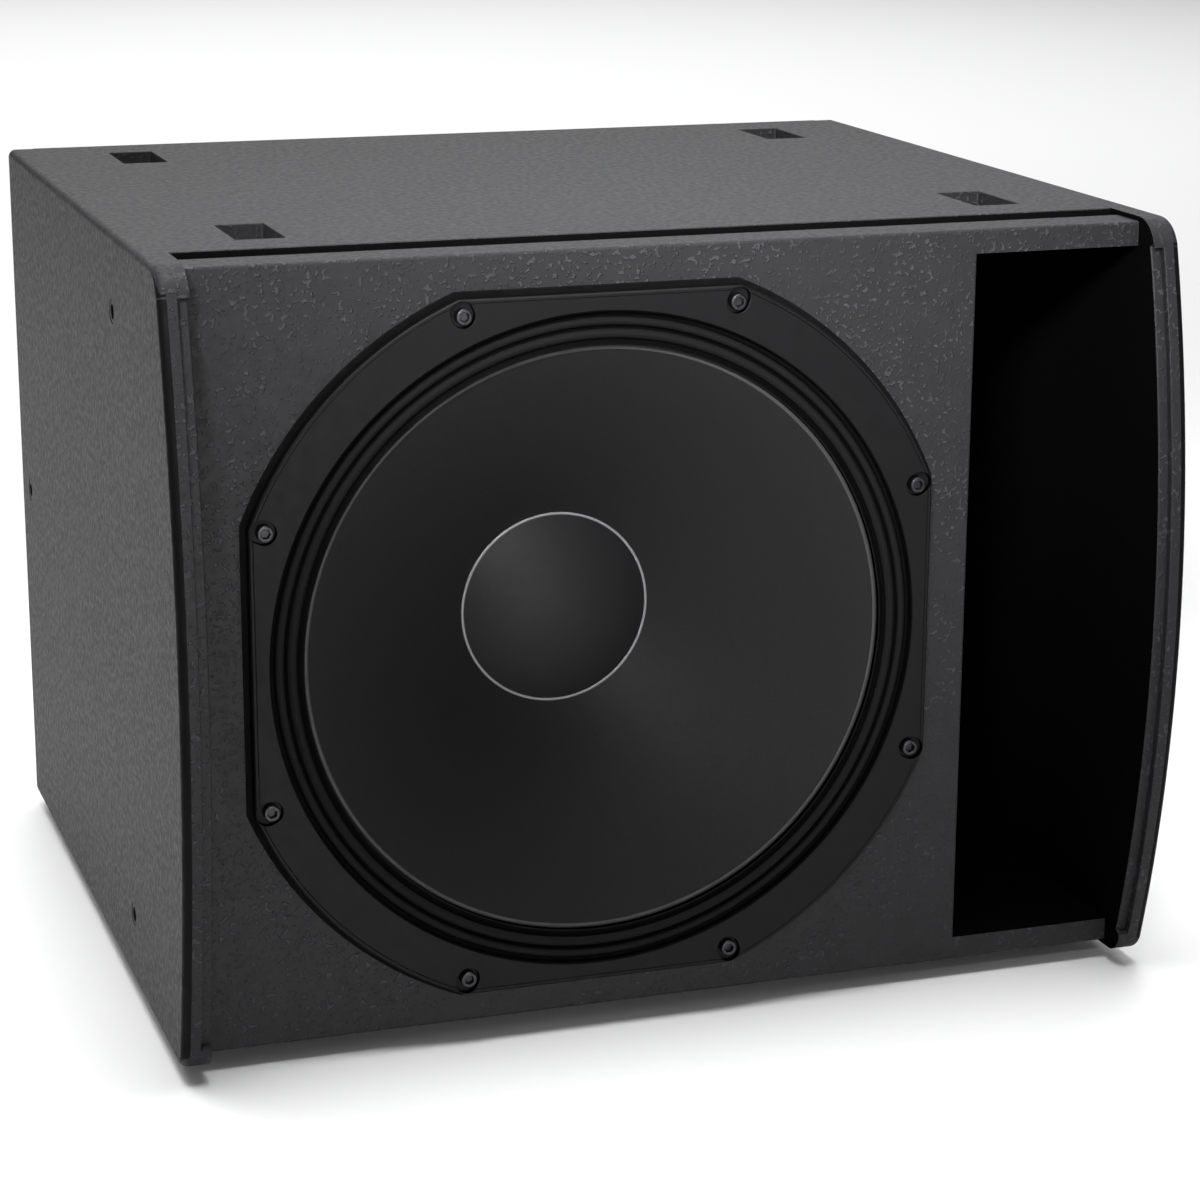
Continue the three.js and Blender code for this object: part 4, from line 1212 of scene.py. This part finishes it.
def add_sockets():
    """Twist-lock speaker sockets: a rectangular flange, and a barrel around a core with two keys."""
    for name in ("speaker_socket_upper", "speaker_socket_lower"):
        low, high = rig.box(name)
        centre = (low + high) / 2
        face = high.y
        back = low.y
        plate = []
        for grow, y in ((0, face - 3 * MM), (0, face - 0.8 * MM), (-0.3 * MM, face - 0.25 * MM),
                        (-0.9 * MM, face)):
            plate.append([(centre.x + u, y, centre.z + v) for u, v in
                          round_box(SOCKET_WIDTH, SOCKET_HEIGHT, 4 * MM, grow)])
        body = link(f"{name}_housing", closed_mesh(name, [loft(plate)]))
        mouth = [(SOCKET_MOUTH, face - 5 * MM), (SOCKET_MOUTH, face - 0.5 * MM),
                 (SOCKET_MOUTH + 0.5 * MM, face), (SOCKET_MOUTH + 0.5 * MM, face + 3 * MM)]
        carve(body, [loft([circle(centre, radius, y, 48) for radius, y in mouth])])
        dress(body, [BLACK_PLASTIC], "cabinet", stands_for=[name], slot="black_plastic")
        floor = face - SOCKET_DEPTH
        neck = face - 3.1 * MM
        barrel = turned([(SOCKET_BARREL, neck), (SOCKET_BARREL, back), (2 * MM, back), (2 * MM, floor),
                         (SOCKET_MOUTH, floor), (SOCKET_MOUTH, neck)], 64, centre)
        core = turned([(6.4 * MM, floor), (6.4 * MM, face - 2.6 * MM), (5.8 * MM, face - 2 * MM),
                       (2.6 * MM, face - 2 * MM), (2.6 * MM, face - 14 * MM), (2.0 * MM, floor)],
                      48, centre)
        keys = []
        for angle in (0.5, math.pi + 0.5):
            rings = []
            for y in (floor, face - 4 * MM):
                rings.append([(centre.x + r * math.cos(angle + t), y, centre.z + r * math.sin(angle + t))
                              for r, t in ((6.2 * MM, -0.22), (8.1 * MM, -0.17), (8.1 * MM, 0.17),
                                           (6.2 * MM, 0.22))])
            keys.append(loft(rings))
        build(f"{name}_core", [barrel, core, *keys], [BLACK_PLASTIC], slot="black_plastic")


def add_pads():
    """Damping fleece: slabs with soft rounded edges and an uneven face."""
    for name in ("damping_pad_back", "damping_pad_left", "damping_pad_top"):
        low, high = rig.box(name)
        bm = bmesh.new()
        bmesh.ops.create_cube(bm, size=1.0)
        for vertex in bm.verts:
            vertex.co = Vector(((low.x, high.x)[vertex.co.x > 0], (low.y, high.y)[vertex.co.y > 0],
                                (low.z, high.z)[vertex.co.z > 0]))
        bmesh.ops.subdivide_edges(bm, edges=bm.edges, cuts=14, use_grid_fill=True)
        centre = (low + high) / 2
        half = (high - low) / 2
        for vertex in bm.verts:
            share = [(vertex.co[i] - centre[i]) / half[i] for i in range(3)]
            on_face = [abs(s) > 0.98 for s in share]
            pull = 2.5 * MM * max(0, sum(on_face) - 1)
            for i in range(3):
                ripple = 1.2 * MM * math.sin(55 * vertex.co[(i + 1) % 3] + 31 * vertex.co[(i + 2) % 3])
                sunk = pull + (2.6 * MM + ripple if on_face[i] else 0.0)
                vertex.co[i] -= math.copysign(sunk, share[i]) * min(1, abs(share[i]))
        mesh = bpy.data.meshes.new(name)
        bm.to_mesh(mesh)
        bm.free()
        pad = link(f"{name}_fleece", mesh)
        rounding = pad.modifiers.new("rounding", "SUBSURF")
        rounding.levels = 1
        rounding.render_levels = 1
        settle(pad)
        coat_smoothly(pad, FLEECE)
        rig.ride(pad, "cabinet")
        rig.replaces(pad, name)
        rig.slot(pad, "damping_foam")
        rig.padded(pad, fill=0.5)


def paint_cad_nodes():
    """Gives the CAD nodes that stay in view their materials."""
    looks = {
        "back_panel": PAINT,
        # The divider inside the port takes the black inner paint, darkened as painted shade.
        "port_divider": INNER_PAINT_AND_SHADE,
        "window_brace": BARE_PLY,
        "connector_plate": COATED_STEEL,
        "motor_top_plate": COATED_STEEL,
        "motor_pole_plate": COATED_STEEL,
        "motor_magnet": FERRITE,
        "voice_coil_former": FORMER,
        "voice_coil_winding": COPPER,
        "terminal_block": BLACK_PLASTIC,
        "terminal_negative": BLACK_PLASTIC,
        "terminal_positive": RED_PLASTIC,
    }
    for name, node in frame["nodes"].items():
        if node.hide_render:
            continue
        look = looks.get(name, ZINC)
        node.data.materials.clear()
        node.data.materials.append(look)


add_side_panel("left", -1)
add_side_panel("right", 1)
add_top_and_bottom()
add_baffle()
add_basket()
add_gasket()
add_bolts()
add_cone()
add_dust_cap()
add_surround()
add_spider()
add_leads()
add_feet()
add_sockets()
add_pads()
paint_cad_nodes()


# ---------- floor, light and camera ----------
def add_floor():
    corners = [(x * FLOOR_HALF, y * FLOOR_HALF) for x, y in ((-1, -1), (1, -1), (1, 1), (-1, 1))]
    mesh = closed_mesh("floor", [loft([[(x, y, z) for x, y in corners] for z in (-0.05, -0.0002)])])
    floor = link("floor", mesh)
    look = Look("pale_floor", (0.92, 0.92, 0.92), 0.42, specular=0.4)
    look.tint(look.noise(0.8, 2), (0.91, 0.91, 0.91), (0.93, 0.93, 0.93))
    mesh.materials.append(look.material)
    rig.stage(floor)


def add_softbox(name, place, target, width, height, brightness, spread):
    """A rectangular light of an even brightness, aimed at a point; spread is its beam in degrees."""
    light = bpy.data.lights.new(name, "AREA")
    light.shape = "RECTANGLE"
    light.size = width
    light.size_y = height
    light.energy = brightness * width * height * math.pi
    light.spread = math.radians(spread)
    box = bpy.data.objects.new(name, light)
    bpy.context.scene.collection.objects.link(box)
    box.location = place
    box.rotation_mode = "QUATERNION"
    box.rotation_quaternion = (Vector(target) - Vector(place)).to_track_quat("-Z", "Y")


def add_lights():
    world = bpy.data.worlds.new("studio")
    bpy.context.scene.world = world
    world.use_nodes = True
    sky = world.node_tree.nodes["Background"]
    sky.inputs["Color"].default_value = (0.97, 0.965, 1, 1)
    sky.inputs["Strength"].default_value = 0.22
    add_softbox("front_beam", (-0.7, -1.5, 1.25), (0.02, -0.25, 0.57), 0.6, 0.25, 6.6, 24)
    add_softbox("front_fill", (-0.1, -2.8, 0.3), (-0.06, -0.25, 0.27), 0.8, 0.5, 0.9, 24)
    add_softbox("near_overhead", (-0.1, -0.3, 2.4), (-0.1, -0.3, 0), 1.8, 1.0, 1.9, 60)
    add_softbox("left_floor", (-1.5, 1.6, 2.2), (-1.5, 1.4, 0), 1.6, 2.4, 1.4, 80)
    add_softbox("backdrop", (-3.0, 6.0, 2.0), (0, 0, 0.6), 5.0, 2.4, 0.12, 180)
    add_softbox("overhead", (0.9, 5.0, 3.4), (0.9, 5.0, 0), 6.5, 7.6, 1.95, 180)


def add_camera():
    azimuth, elevation, roll = (math.radians(v) for v in CAMERA_ANGLES)
    back = Vector((math.sin(azimuth) * math.cos(elevation), -math.cos(azimuth) * math.cos(elevation),
                   math.sin(elevation)))
    right = (-back).cross(Vector((0, 0, 1))).normalized()
    up = right.cross(-back)
    across = right * math.cos(roll) + up * math.sin(roll)
    upright = up * math.cos(roll) - right * math.sin(roll)
    data = bpy.data.cameras.new("camera")
    data.lens = CAMERA_LENS
    data.sensor_width = 36
    data.clip_start = 0.05
    data.clip_end = 100
    camera = bpy.data.objects.new("camera", data)
    bpy.context.scene.collection.objects.link(camera)
    axes = Matrix((across, upright, back)).transposed().to_4x4()
    camera.matrix_world = Matrix.Translation(CAMERA_PLACE) @ axes
    bpy.context.scene.camera = camera


add_floor()
add_lights()
add_camera()
bpy.context.scene.view_settings.view_transform = "Standard"

bpy.context.view_layer.update()
VISUAL_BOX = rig.bounds()
with open("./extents.json", "w") as f:
    json.dump({"cad": [list(p) for p in CAD_BOX], "visual": [list(p) for p in VISUAL_BOX]}, f)
